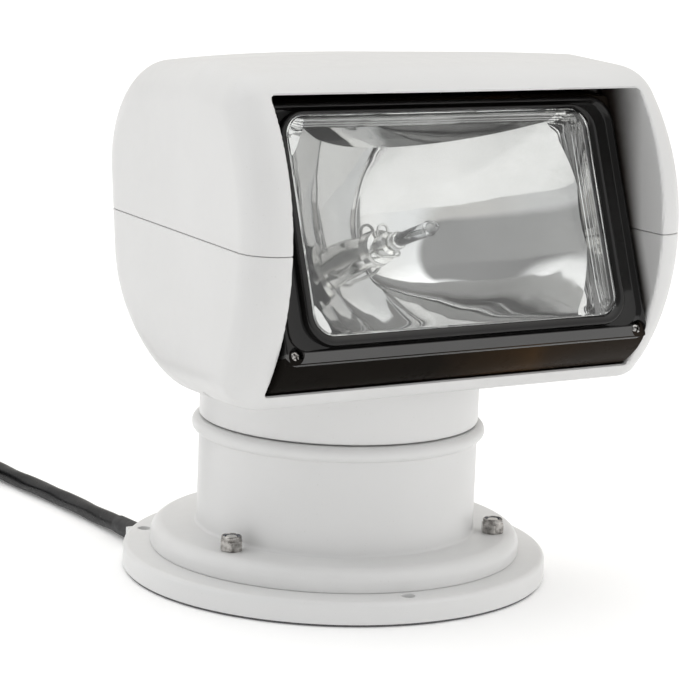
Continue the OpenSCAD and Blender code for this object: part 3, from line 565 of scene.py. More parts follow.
class HeadForm:
    """Distance to the closed outer form of the head, from a table of its side views."""

    def __init__(self, h):
        self.h = h
        self.y = np.arange(-100.0, 66.0 + h, h)
        self.z = np.arange(54.0, 210.0 + h, h)
        self.b = np.linspace(0.0, BOW, 8)
        yy, zz = np.meshgrid(self.y, self.z, indexing="ij")
        self.table = np.stack([outline_distance(side_outline(b), yy, zz) for b in self.b])

    def side(self, x, y, z):
        bow = BOW * np.clip(1 - np.abs(x / 84.0) ** 2.2, 0, 1)
        fb = np.clip(bow / (self.b[1] - self.b[0]), 0, len(self.b) - 1.001)
        fy = np.clip((y - self.y[0]) / self.h, 0, len(self.y) - 1.001)
        fz = np.clip((z - self.z[0]) / self.h, 0, len(self.z) - 1.001)
        ib, iy, iz = fb.astype(int), fy.astype(int), fz.astype(int)
        tb, ty, tz = fb - ib, fy - iy, fz - iz
        t = self.table
        out = 0.0
        for db, wb in ((0, 1 - tb), (1, tb)):
            for dy, wy in ((0, 1 - ty), (1, ty)):
                for dz, wz in ((0, 1 - tz), (1, tz)):
                    out = out + wb * wy * wz * t[ib + db, iy + dy, iz + dz]
        return out

    def outer(self, x, y, z):
        # the top is a little crowned, and the sides draw in low down at the back
        p = self.side(x, y, z + 1.6 * (x / 78.0) ** 2 * np.clip((z - 150.0) / 40.0, 0, 1))
        w = HEAD_HW - np.tan(TAPER) * (y + 85.0) - 0.004 * np.maximum(0, 122.0 - z) ** 2 * np.clip((y + 60.0) / 80.0, 0, 1)
        q = (np.abs(x) - w) * math.cos(TAPER)
        a, b = p + SIDE_R, q + SIDE_R
        return np.minimum(np.maximum(a, b), 0) + np.hypot(np.maximum(a, 0), np.maximum(b, 0)) - SIDE_R


def meet(a, b, r):
    """Both, with the edge between them rounded."""
    u, v = np.maximum(r + a, 0), np.maximum(r + b, 0)
    return np.minimum(-r, np.maximum(a, b)) + np.hypot(u, v)


def join_soft(a, b, r):
    """Either, with the corner between them filled."""
    return -meet(-a, -b, r)


FORM = HeadForm(1.0)


def cheek_back(z):
    return -69.8 + 0.36 * np.maximum(z - SEAM, 0)


def shell_distance(x, y, z):
    out = FORM.outer(x, y, z)
    front = FRONT_R - 10.0 - np.hypot(y - FRONT_C[0], z - FRONT_C[1])
    hollow = meet(out + WALL, -front, 3.0)
    # the opening, a box with small corner radii, open towards -Y
    ax = np.abs(x) - OPEN_HW
    az = np.abs(z - (OPEN_Z0 + OPEN_Z1) / 2) - (OPEN_Z1 - OPEN_Z0) / 2
    hole = np.minimum(np.maximum(ax + 1.5, az + 1.5), 0) + np.hypot(np.maximum(ax + 1.5, 0), np.maximum(az + 1.5, 0)) - 1.5
    hole = np.maximum(hole, y + 40.0)
    d = meet(out, -hole, 0.9)
    d = np.maximum(d, -hollow)
    # thin cheeks beside the lamp, behind the rim
    cheek = np.maximum(np.abs(np.abs(x) - (OPEN_HW + 1.2)) - 1.2, y - cheek_back(z))
    d = np.minimum(d, np.maximum(cheek, out + 0.5))
    # room for the neck, and screw holes with their posts
    rad = np.hypot(x, y)
    d = np.maximum(d, -np.maximum(rad - 51.5, z - 120.0))
    for bx, by, br in BOSSES:
        rb = np.hypot(np.abs(x) - bx, y - by)
        post = np.maximum(rb - (br + 1.9), out + 0.6)
        d = np.minimum(d, np.maximum(post, 86.0 - z))
        d = np.maximum(d, -np.maximum(rb - br, z - 120.0))
    return d


def surface_net(fn, lo, hi, h):
    """Quads round the space where fn is below zero, with points pulled onto its surface."""
    ax = [np.arange(lo[k], hi[k] + h, h) for k in range(3)]
    X, Y, Z = np.meshgrid(*ax, indexing="ij")
    F = fn(X, Y, Z)
    del X, Y, Z
    S = F < 0
    n = np.array(F.shape)
    corner = [(a, b, c) for a in (0, 1) for b in (0, 1) for c in (0, 1)]
    count = np.zeros(n - 1, np.int8)
    for a, b, c in corner:
        count += S[a:n[0] - 1 + a, b:n[1] - 1 + b, c:n[2] - 1 + c]
    cells = np.argwhere((count > 0) & (count < 8))
    index = np.full(n - 1, -1, np.int64)
    index[tuple(cells.T)] = np.arange(len(cells))
    total, hits = np.zeros((len(cells), 3)), np.zeros(len(cells))
    for p in corner:
        for k in range(3):
            if p[k]:
                continue
            q = list(p)
            q[k] = 1
            f0 = F[tuple((cells + p).T)]
            f1 = F[tuple((cells + q).T)]
            on = (f0 < 0) != (f1 < 0)
            t = np.where(on, f0 / np.where(on, f0 - f1, 1), 0)
            pos = np.repeat(np.array(p, float)[None], len(cells), 0)
            pos[:, k] = t
            total += pos * on[:, None]
            hits += on
    v = (cells + total / hits[:, None]) * h + np.array(lo)
    faces = []
    for k in range(3):
        i, j = (k + 1) % 3, (k + 2) % 3
        s0 = [slice(None)] * 3
        s1 = [slice(None)] * 3
        s0[k], s1[k] = slice(0, -1), slice(1, None)
        a, b = S[tuple(s0)], S[tuple(s1)]
        e = np.argwhere(a != b)
        e = e[(e[:, i] > 0) & (e[:, j] > 0) & (e[:, i] < n[i] - 1) & (e[:, j] < n[j] - 1)]
        inside_first = S[tuple(e.T)]
        quad = []
        for di, dj in ((-1, -1), (0, -1), (0, 0), (-1, 0)):
            c = e.copy()
            c[:, i] += di
            c[:, j] += dj
            quad.append(index[tuple(c.T)])
        q = np.stack(quad, -1)
        q[~inside_first] = q[~inside_first][:, ::-1]
        faces.append(q)
    f = np.concatenate(faces)
    f = f[(f >= 0).all(1)]
    for _ in range(4):
        d, g = gradient(fn, v)
        v = v - np.clip(d, -0.6 * h, 0.6 * h)[:, None] * g
    return v, f


def gradient(fn, v, e=0.12):
    d = fn(v[:, 0], v[:, 1], v[:, 2])
    g = np.empty_like(v)
    for k in range(3):
        a, b = v.copy(), v.copy()
        a[:, k] += e
        b[:, k] -= e
        g[:, k] = fn(a[:, 0], a[:, 1], a[:, 2]) - fn(b[:, 0], b[:, 1], b[:, 2])
    g /= np.maximum(np.linalg.norm(g, axis=1), 1e-9)[:, None]
    return d, g


def painted_shade_mask(v):
    """How much painted shade the inside gets: none on the outer skin and the front of the rim, all of it deeper in."""
    out = FORM.outer(v[:, 0], v[:, 1], v[:, 2])
    deep = FRONT_R - np.hypot(v[:, 1] - FRONT_C[0], v[:, 2] - FRONT_C[1])
    a = np.clip((deep - 6.5) / 6.0, 0, 1)
    face = (np.abs(np.abs(v[:, 0]) - OPEN_HW) < 0.7) & (v[:, 1] < cheek_back(v[:, 2]) + 0.4)
    # painted shade on the cheeks, deepening towards the lamp's front plane
    lean = math.radians(20.0)
    ahead = -(v[:, 1] + 60.0) * math.cos(lean) + (v[:, 2] - SEAM) * math.sin(lean) - 13.0
    high, low = np.clip((v[:, 2] - SEAM) / 45.0, 0, 1), np.clip((118.0 - v[:, 2]) / 20.0, 0, 1)
    a = np.where(face, np.clip(1 - ahead / (8.0 + 13.0 * high), 0, 1) * (0.97 - 0.27 * low), a)
    b = np.clip((-out - 1.2) / 1.0, 0, 1)
    # painted shade on the lower ledge, starting just behind its front edge
    ledge = (np.abs(v[:, 2] - OPEN_Z0) < 0.8) & (np.abs(v[:, 0]) < OPEN_HW - 0.5)
    a = np.where(ledge, np.clip((deep - 0.9) / 0.9, 0, 1), a)
    b = np.where(ledge, np.clip((-out - 0.6) / 0.8, 0, 1), b)
    return a * a * (3 - 2 * a) * b


def half_shell(name, source, keep_above, mat):
    """One of the two halves, cut at the seam with a small chamfer round the joint."""
    gap, cham = 0.11, 0.28
    sign = 1.0 if keep_above else -1.0
    bm = bmesh.new()
    bm.from_mesh(source)
    level = (SEAM + sign * (gap + cham)) * MM
    bmesh.ops.bisect_plane(bm, geom=list(bm.verts) + list(bm.edges) + list(bm.faces), dist=1e-7, plane_co=(0, 0, level), plane_no=(0, 0, 1),
                           clear_outer=not keep_above, clear_inner=keep_above)
    rim = [e for e in bm.edges if e.is_boundary and all(abs(v.co.z - level) < 1e-6 for v in e.verts)]
    bm.normal_update()
    push = {}
    for e in rim:
        for v in e.verts:
            n = Vector((v.normal.x, v.normal.y, 0))
            if n.length > 1e-6:
                n.normalize()
            push[v] = n
    made = bmesh.ops.extrude_edge_only(bm, edges=rim)["geom"]
    pair = {}
    for e in rim:
        for v in e.verts:
            pair[(round(v.co.x, 8), round(v.co.y, 8))] = push[v]
    new_v = [g for g in made if isinstance(g, bmesh.types.BMVert)]
    for v in new_v:
        n = pair.get((round(v.co.x, 8), round(v.co.y, 8)), Vector((0, 0, 0)))
        v.co = v.co - n * (cham * MM) - Vector((0, 0, sign * cham * MM))
    cap = [e for e in bm.edges if e.is_boundary]
    bmesh.ops.triangle_fill(bm, edges=cap, use_beauty=True, use_dissolve=False)
    bmesh.ops.recalc_face_normals(bm, faces=bm.faces)
    me = bpy.data.meshes.new(name)
    bm.to_mesh(me)
    bm.free()
    ob = bpy.data.objects.new(name, me)
    scene.collection.objects.link(ob)
    me.materials.append(mat)
    finish_normals(ob, 38.0)
    co = np.zeros(len(me.vertices) * 3, np.float32)
    me.vertices.foreach_get("co", co)
    # the painted shade of the inside, stored on each point
    shade = me.attributes.new("inside", "FLOAT", "POINT")
    shade.data.foreach_set("value", painted_shade_mask(co.reshape(-1, 3).astype(float) / MM).astype(np.float32))
    return ob


def make_head():
    h = 1.05
    v, f = surface_net(shell_distance, (-97.65, -97.5, 72.0), (97.65, 65.0, 207.0), h)
    src = bpy.data.meshes.new("head_source")
    src.from_pydata((v * MM).tolist(), [], f.tolist())
    src.validate()
    upper = half_shell("upper_shell_skin", src, True, WHITE)
    lower = half_shell("lower_shell_skin", src, False, WHITE)
    bpy.data.meshes.remove(src)
    for ob, node in ((upper, "upper_shell"), (lower, "lower_shell")):
        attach(ob, "head")
        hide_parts(node)
    # the turning neck below the lower half
    profile = rounded([(24.4, 61), (54.15, 61, 0.8), (54.15, 100), (51.2, 100), (51.2, 64.5, 1.5), (24.4, 64.5), (24.4, 61)], 5)
    neck = lathe("neck_skin", profile[:-1], 256, BASE_WHITE_LIGHTENED, closed=True)
    # its upper edge follows the underside of the head and ends inside the wall
    top = [k for k in neck.data.vertices if k.co.z > 99 * MM]
    at = np.array([k.co for k in top]) / MM
    level = np.full(len(top), 127.0)
    for z in np.arange(127.0, 70.0, -0.5):
        level = np.where(FORM.outer(at[:, 0], at[:, 1], np.full(len(top), z)) < -1.4, z, level)
    for k, z in zip(top, level):
        k.co.z = z * MM
    finish_normals(neck, 35.0)
    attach(neck, "head")
    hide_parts("lower_shell")


make_head()

# ------------------------------------------------------------------ fixed base


def make_base():
    br = 3.0
    profile = [(50.65, 9.5), (71.6, 9.5), (72, 9.9), (72, 13.3)] + arc(67, 13.3, 5, 0, 90, 12)[1:] + rounded(
        [(66.9, 18.3), (54.15, 18.3, 1.4), (54.15, 54.9)], 6)[1:]
    profile += arc(53.9, 57.5, br, -84, 90, 26)
    profile += [(53.0, 60.5), (24.5, 60.5), (24.08, 60.1), (24.08, 53), (33.08, 53), (33.08, 56), (49.65, 56), (50.65, 55)]
    ped = lathe("pedestal_skin", profile, 256, BASE_WHITE_LIGHTENED, closed=True)
    for k in range(3):
        a = math.radians(79.5 + 120 * k)
        c = lathe("hole", [(0, 5), (2.7, 5), (2.7, 30), (0, 30)], 32, None,
                  place=lambda p, a=a: p + np.array([62 * math.cos(a), 62 * math.sin(a), 0]))
        boolean(ped, c)
    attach(ped, "base")
    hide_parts("pedestal")

    profile = rounded([(50, 1.5), (53, 1.5), (53, 6, 0.6), (77.5, 6, 0.6), (77.5, 1.5), (79.0, 0.8), (82.2, 0.8), (82.5, 1.1), (82.5, 9.5, 2.0), (50, 9.5)], 10)
    fl = lathe("flange_skin", profile, 256, BASE_WHITE_LIGHTENED, closed=True)

    def post(r, a, d, z0, z1, seg=40):
        a = math.radians(a)
        return lathe("post", [(0, z0), (r, z0), (r, z1), (0, z1)], seg, None,
                     place=lambda p: p + np.array([d * math.cos(a), d * math.sin(a), 0]))
    for k in range(3):
        boolean(fl, post(5.5, 19 + 120 * k, 76.2, 1.5, 8.5), "UNION")
        boolean(fl, post(6.0, 79.5 + 120 * k, 62, 1.5, 8.5), "UNION")
    block = np.array([[x, y, z] for x in (-61.5, -47.5) for y in (54.0, 58.0) for z in (1.5, 8.5)])
    quads = [(0, 1, 3, 2), (4, 6, 7, 5), (0, 4, 5, 1), (2, 3, 7, 6), (0, 2, 6, 4), (1, 5, 7, 3)]
    boolean(fl, obj("block", block, quads, None), "UNION")
    for k in range(3):
        # screw holes with a small countersink
        a = math.radians(19 + 120 * k)
        c = lathe("hole", [(0, -1.3), (2.6, -1.3), (2.6, 9.05), (2.83, 9.62), (2.83, 12.1), (0, 12.1)], 46, None,
                  place=lambda p, a=a: p + np.array([76.2 * math.cos(a), 76.2 * math.sin(a), 0]))
        boolean(fl, c)
        boolean(fl, post(2.5, 79.5 + 120 * k, 62, 4, 20, 32))
    # way for the cable, a round top over straight sides: straight out at the edge, then slanting in
    prof = [(-4.0, -1.0), (4.0, -1.0)] + arc(0, 4.2, 4.0, 0, 180, 20)
    n = len(prof)
    faces = [list(range(n)), list(range(2 * n - 1, n - 1, -1))] + [(i, i + n, (i + 1) % n + n, (i + 1) % n) for i in range(n)]
    turn = math.radians(56)
    for y0, y1, a in ((-2.0, 40.0, 0.0), (-40.0, 2.0, turn)):
        pts = [(-54.5 + x * math.cos(a) - y * math.sin(a), 56.5 + x * math.sin(a) + y * math.cos(a), z) for y in (y0, y1) for x, z in prof]
        boolean(fl, obj("slot", pts, faces, None, merge=True))
    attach(fl, "base")
    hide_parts("deck_flange")


make_base()


def hex_nut(name, at, turn):
    """A lock nut: six flats with chamfered corners, and a rolled collar over its nylon ring."""
    seg = 96
    a = np.arange(seg) * 2 * math.pi / seg
    flat = 4.0 / np.cos((a + math.pi / 6) % (math.pi / 3) - math.pi / 6)
    zs = np.concatenate([[0, 0.06, 0.15, 0.25, 0.4, 0.55, 0.8], np.linspace(1.2, 3.0, 5), [3.2, 3.4, 3.55, 3.7, 3.82, 3.92, 4.0]])
    rings = []
    for z in zs:
        cone = 4.05 + 1.45 * min(z, 4.0 - z) / 0.9 if min(z, 4.0 - z) < 0.9 else 9.0
        r = np.minimum(flat, cone)
        rings.append(np.stack([r * np.cos(a), r * np.sin(a), np.full(seg, z)], -1))

    def ring(r, z):
        return np.stack([r * np.cos(a), r * np.sin(a), np.full(seg, z)], -1)
    top = [ring(3.95, 4.02), ring(3.88, 4.1)] + [ring(r, z) for r, z in
           [(3.86, 5.0)] + [(3.36 + 0.5 * math.cos(t), 5.2 + 0.5 * math.sin(t)) for t in np.radians([0, 20, 40, 60, 80, 100])]
           + [(3.22, 5.55), (3.2, 4.6), (2.52, 4.5), (2.52, 0.4), (2.75, 0.0)]]
    v = np.concatenate(rings + top)
    n = len(rings) + len(top)
    f = grid_faces(n, seg, wrap_n=True)
    c, s = math.cos(turn), math.sin(turn)
    v = v @ np.array([[c, s, 0], [-s, c, 0], [0, 0, 1.0]]) + np.array(at)
    return obj(name, v, f, NUT_STEEL, 28.0)


def stud(name, at):
    """Threaded end of a stud, with a rounded tip."""
    prof = [(0, -14.3), (2.1, -14.3), (2.45, -13.9), (2.45, -1.0)]
    z = -1.0
    while z < 4.9:
        prof += [(2.48, z + 0.1), (2.06, z + 0.4), (2.06, z + 0.5)]
        z += 0.8
    prof += [(2.3, 5.1), (1.9, 5.45), (1.0, 5.58), (0, 5.6)]
    return lathe(name, prof, 48, STEEL, place=lambda p: p + np.array(at))


def make_nuts():
    nuts, studs = [], []
    for k in range(3):
        a = math.radians(79.5 + 120 * k)
        at = (62 * math.cos(a), 62 * math.sin(a), 18.3)
        nuts.append(hex_nut("nut", at, math.radians(79.5 + 120 * k + 12)))
        studs.append(stud("stud", at))
    for name, obs, node in (("foot_nut_set", nuts, "foot_nuts"), ("foot_stud_set", studs, "foot_studs")):
        ob = join(name, obs)
        finish_normals(ob, 28.0)
        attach(ob, "base")
        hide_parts(node)


make_nuts()

# ------------------------------------------------------------------ tilting lamp

TILT = math.radians(20.0)
PIVOT = np.array([0.0, -60.0, 141.0])


def lamp(p):
    """Points (x, up, forward) of the lamp, in the row frame."""
    p = np.asarray(p, float).reshape(-1, 3)
    return np.stack([p[:, 0], PIVOT[1] + p[:, 1] * math.sin(TILT) - p[:, 2] * math.cos(TILT),
                     PIVOT[2] + p[:, 1] * math.cos(TILT) + p[:, 2] * math.sin(TILT)], -1)


def rect_loop(hw, b, t, rb, rt, n=12, m=10):
    """Points round a rectangle with rounded corners, n steps a corner and m steps a straight side."""
    out = []
    cs = [((hw - rb, b + rb), rb, -90), ((hw - rt, t - rt), rt, 0), ((-hw + rt, t - rt), rt, 90), ((-hw + rb, b + rb), rb, 180)]
    for k, (c, r, a0) in enumerate(cs):
        pts = arc(c[0], c[1], r, a0, a0 + 90, n)
        c2, r2, a2 = cs[(k + 1) % 4]
        nxt = arc(c2[0], c2[1], r2, a2, a2 + 90, n)[0]
        out += pts
        out += [(pts[-1][0] + (nxt[0] - pts[-1][0]) * i / m, pts[-1][1] + (nxt[1] - pts[-1][1]) * i / m) for i in range(1, m)]
    return np.array(out)


def loft(name, loops, mat, closed=True, sharp=35.0, cap_first=False, cap_last=False):
    """Skin over loops of (points in x and up, forward distance)."""
    v = np.concatenate([np.column_stack([p, np.broadcast_to(f, (len(p),))]) for p, f in loops])
    m = len(loops[0][0])
    f = grid_faces(len(loops), m, wrap_n=closed).tolist()
    if cap_first:
        f.append(list(range(m))[::-1])
    if cap_last:
        f.append([(len(loops) - 1) * m + j for j in range(m)])
    ob = obj(name, lamp(v), f, mat, sharp, merge=True)
    return ob


def make_bezel():
    def outer(d, f):
        # the face leans back along the bottom bar
        p = rect_loop(78.5 - d, -46.6 + d, 45.8 - d, max(5 - d, 1.2), max(10 - d, 3))
        return p, f - (1.6 * np.clip((-42.5 - p[:, 1]) / 4.0, 0, 1) if f > 12 else 0.0)

    def ridge(d, f):
        return rect_loop(69.4 - d, -40.9 + d, 42.9 - 0.55 * d, 11 - d * 0.9, 11 - d * 0.9), f
    loops = [outer(0.0, 10.0), outer(0.0, 14.7), outer(0.12, 15.1), outer(0.4, 15.4), outer(0.8, 15.5)]
    # the raised edge, which widens into a flat bar along the bottom
    loops += [(rect_loop(77.1, -42.3, 44.4, 7.2, 8.6), 15.5), (rect_loop(76.9, -42.05, 44.2, 7.1, 8.5), 15.42),
              (rect_loop(76.7, -41.9, 44.05, 7.0, 8.4), 15.2), (rect_loop(75.6, -41.6, 43.6, 7.0, 8.4), 14.15),
              (rect_loop(75.0, -41.45, 43.4, 7.4, 8.6), 14.05), (rect_loop(71.2, -41.2, 43.15, 9.6, 10.4), 13.9)]
    loops += [ridge(-0.1, 14.1), ridge(0.0, 14.6), ridge(0.15, 16.3), ridge(0.4, 16.8), ridge(0.8, 17.1), ridge(1.3, 17.2), ridge(1.8, 17.12),
              ridge(2.3, 16.9)]
    loops += [(rect_loop(66.35, -37.7, 41.48, 8.3, 8.3), 16.6), (rect_loop(66.02, -37.32, 41.32, 8.0, 8.0), 16.2),
              (rect_loop(66.0, -37.3, 41.3, 8.0, 8.0), 10.0)]
    ob = loft("bezel_frame", loops, GLOSS)
    for s in (-1, 1):
        c = lathe("recess", [(0, 9.0), (1.6, 9.0), (1.6, 11.9), (3.0, 11.9), (3.0, 14.6), (3.2, 15.2), (3.2, 20), (0, 20)], 48, None,
                  place=lambda p, s=s: lamp(np.column_stack([p[:, 0] + s * 74.4, p[:, 1] - 43.2, p[:, 2]])))
        boolean(ob, c)
    # the bottom bar has the higher polish
    ob.data.materials.append(BAR)
    lean = Vector((0.0, math.sin(TILT), math.cos(TILT)))
    for poly in ob.data.polygons:
        if (poly.center / MM - Vector(PIVOT)).dot(lean) < -42.2:
            poly.material_index = 1
    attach(ob, "lamp")
    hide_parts("bezel")


make_bezel()


def drum_solid(name, k, hw, front, edge):
    """A drum lying along X: a round back and belly that draw in to the bezel's upper and lower edges."""
    r = 51.0
    low = [(13.4, -46.1), (12.2, -47.3), (10.4, -48.6), (8.0, -50.1), (5.0, -51.5), (2.0, -52.6), (0.0, -53.0)]
    top = [(4.0, 50.4), (6.5, 49.7), (9.0, 48.8), (11.0, 47.9), (12.6, 46.9), (13.4, 46.0)]
    t = np.linspace(-92, -268, 120)
    e = np.clip((t + 150) / 25, 0, 1)
    e = r + 2.2 * e * e * (3 - 2 * e)
    t = np.radians(t)
    back = list(zip(e * np.cos(t), e * np.sin(t)))
    prof = np.array([(front, low[0][1])] + low + back + top + [(front, top[-1][1])]) * [1.0, k]
    prof[1:-1, 0] *= k
    loops = []
    for x, d in [(-hw, edge), (-hw + 0.3 * edge, 0.3 * edge), (-hw + edge, 0.0), (hw - edge, 0.0), (hw - 0.3 * edge, 0.3 * edge), (hw, edge)]:
        q = prof * (1 - d / r)
        loops.append(np.column_stack([np.full(len(q), x), q[:, 1], q[:, 0]]))
    n, m = len(loops), len(prof)
    f = grid_faces(n, m).tolist() + [list(range(m))[::-1], [(n - 1) * m + j for j in range(m)]]
    ob = obj(name, lamp(np.concatenate(loops)), f, SKIRT, 30.0, merge=True)
    bm = bmesh.new()
    bm.from_mesh(ob.data)
    bmesh.ops.recalc_face_normals(bm, faces=bm.faces)
    bm.to_mesh(ob.data)
    bm.free()
    return ob


def make_drum():
    """The black drum behind the bezel, open at the front; its belly is the dark skirt under the glass."""
    ob = drum_solid("lamp_drum", 1.0, 78.2, 14.2, 1.2)
    boolean(ob, drum_solid("drum_hollow", 0.957, 76.0, 30.0, 1.0))
    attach(ob, "lamp")
    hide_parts("lamp_bucket")


make_drum()


def make_bezel_screws():
    obs = []
    for s, spin in ((-1, 25), (1, 60)):
        prof = [(0, -10.6), (0.6, -10.6), (1.25, -9.4), (1.25, 0), (2.2, 0), (2.3, 0.15)] + [
            (2.3 * math.cos(t), 0.5 + 1.35 * math.sin(t)) for t in np.radians(np.linspace(0, 88, 14))] + [(0, 1.85)]
        place = lambda p, s=s: lamp(np.column_stack([p[:, 0] + s * 74.4, p[:, 1] - 43.2, p[:, 2] + 12.6]))
        head = lathe("screw", prof, 64, DARK_STEEL, place=place)
        for k in (0, 90):
            a = math.radians(spin + k)
            box = np.array([[x, y, z] for x in (-1, 1) for y in (-1, 1) for z in (0, 1)], float)
            taper = np.where(box[:, 2] > 0, 1.85, 0.6)
            x = box[:, 0] * taper
            y = box[:, 1] * np.where(box[:, 2] > 0, 0.48, 0.30)
            z = np.where(box[:, 2] > 0, 2.4, 0.45)
            p = np.column_stack([x * math.cos(a) - y * math.sin(a), x * math.sin(a) + y * math.cos(a), z])
            quads = [(0, 1, 3, 2), (4, 6, 7, 5), (0, 4, 5, 1), (2, 3, 7, 6), (0, 2, 6, 4), (1, 5, 7, 3)]
            boolean(head, obj("cross", place(p), quads, None, merge=True))
        obs.append(head)
    ob = join("bezel_screw_pair", obs)
    finish_normals(ob, 30.0)
    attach(ob, "lamp")
    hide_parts("bezel_screws")


make_bezel_screws()


def make_lens():
    """Pressed glass with a rounded front edge and a step round its back."""
    def loop(d, f):
        r = max(7.9 - d * 0.7, 2.5)
        return rect_loop(65.9 - d, -37.2 + d, 41.2 - d, r, r, n=14, m=6), f
    front = [loop(0.0, 13.2), loop(0.0, 15.5), loop(0.2, 16.0), loop(0.55, 16.3), loop(1.0, 16.4), loop(3.0, 16.4)]
    back = [loop(3.0, 12.6), loop(2.4, 12.4), loop(0.5, 12.4), loop(0.15, 12.6)]
    loops = [loop(20.0, 16.4)] + front[::-1] + back[::-1] + [loop(20.0, 12.6)]
    ob = loft("lens_pane", loops, GLASS, closed=False, cap_first=True, cap_last=True, sharp=25.0)
    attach(ob, "lamp")
    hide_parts("lens_glass")


make_lens()


def make_reflector():
    """A bowl of revolution cut by flat upper and lower walls, set back in a rectangular frame with stepped walls."""
    foc, apex, mid = 23.2, -40.0, 2.0
    h0, h1, f1, rmax, hw1 = -35.4, 39.4, 5.5, 65.0, 64.0
    seg, rows = 320, 46
    a = np.arange(seg) * 2 * math.pi / seg
    ca, sa = np.cos(a), np.sin(a)
    up, dn = sa > 1e-6, sa < -1e-6
    # how far out each ray runs before it meets a flat wall
    lim = np.minimum(rmax, hw1 / np.maximum(np.abs(ca), 1e-9))
    lim[up] = np.minimum(lim[up], (h1 - mid) / sa[up])
    lim[dn] = np.minimum(lim[dn], (h0 - mid) / sa[dn])
    inner = 6.55
    rings = []
    for k in range(rows):
        r = inner + (lim - inner) * (k / (rows - 1)) ** 0.9
        rings.append(np.column_stack([r * ca, mid + r * sa, apex + r * r / (4 * foc)]))
    # flat walls run forward from the bowl to the frame
    edge = rings[-1]
    for t in (0.02, 0.3, 0.65, 0.97, 1.0):
        ring = edge.copy()
        ring[:, 2] = edge[:, 2] + (f1 - edge[:, 2]) * t
        rings.append(ring)

    def frame_loop(d, f):
        # same rays, out to a rectangle
        s = (65.8 - d) / np.maximum(np.abs(ca), 1e-9)
        s[up] = np.minimum(s[up], (41.2 - d - mid) / sa[up])
        s[dn] = np.minimum(s[dn], (-37.2 + d - mid) / sa[dn])
        return np.column_stack([s * ca, mid + s * sa, np.full(seg, f)])
    # steps of the corners, between the bowl's edge and the frame, then of the frame's own walls
    base, out = rings[-1], frame_loop(1.8, f1)
    for t, f in ((0.06, f1), (0.34, f1), (0.38, f1 - 0.6), (0.66, f1 - 0.6), (0.70, f1), (1.0, f1)):
        ring = base + (out - base) * t
        ring[:, 2] = f
        rings.append(ring)
    for d, f in ((1.72, 6.7), (1.42, 6.8), (1.36, 8.0), (1.06, 8.1), (1.0, 9.4), (0.70, 9.5), (0.62, 11.1), (0.45, 11.3), (0.1, 11.3), (0.0, 11.1), (0.0, 4.6)):
        rings.append(frame_loop(d, f))
    wall = edge.copy()
    wall[:, 0] += 0.9 * ca
    wall[:, 1] += 0.9 * sa
    wall[:, 2] = np.minimum(4.6, edge[:, 2] + 20.0)
    rings.append(wall)
    for k in range(18):
        r = inner + (lim - inner) * (1 - k / 17)
        rings.append(np.column_stack([(r + 0.9) * ca, mid + (r + 0.9) * sa, np.minimum(4.5, apex - 1.2 + r * r / (4 * foc))]))
    ob = obj("reflector_bowl", lamp(np.concatenate(rings)), grid_faces(len(rings), seg, wrap_n=True), CHROME, 30.0, merge=True)
    # the flat walls and the frame are brighter than the bowl, and the frame's upper edge is darker with painted shade
    ob.data.materials.append(WALLS)
    ob.data.materials.append(RIM_PAINTED_SHADE)
    for poly in ob.data.polygons:
        x, y, z = poly.center / MM - Vector(PIVOT)
        u, f = y * math.sin(TILT) + z * math.cos(TILT) - mid, z * math.sin(TILT) - y * math.cos(TILT)
        if f - apex - (x * x + u * u) / (4 * foc) > 0.6:
            poly.material_index = 2 if u + mid > 39.0 and f > 5.0 else 1
    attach(ob, "lamp")
    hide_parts("reflector")


make_reflector()


def wire(name, line, r, mat, sides=10):
    """A round wire along a line."""
    t = np.gradient(line, axis=0)
    t /= np.linalg.norm(t, axis=1)[:, None]
    u = np.cross(t, np.array([0.31, 0.52, 0.79]))
    u /= np.maximum(np.linalg.norm(u, axis=1), 1e-6)[:, None]
    w = np.cross(t, u)
    a = np.arange(sides) * 2 * math.pi / sides
    p = line[:, None] + r * (u[:, None] * np.cos(a)[None, :, None] + w[:, None] * np.sin(a)[None, :, None])
    f = grid_faces(len(line), sides).tolist() + [list(range(sides))[::-1], [(len(line) - 1) * sides + j for j in range(sides)]]
    p = p.reshape(-1, 3)
    return obj(name, lamp(np.column_stack([p[:, 0], p[:, 1] + 2.0, p[:, 2]])), f, mat, 60.0)


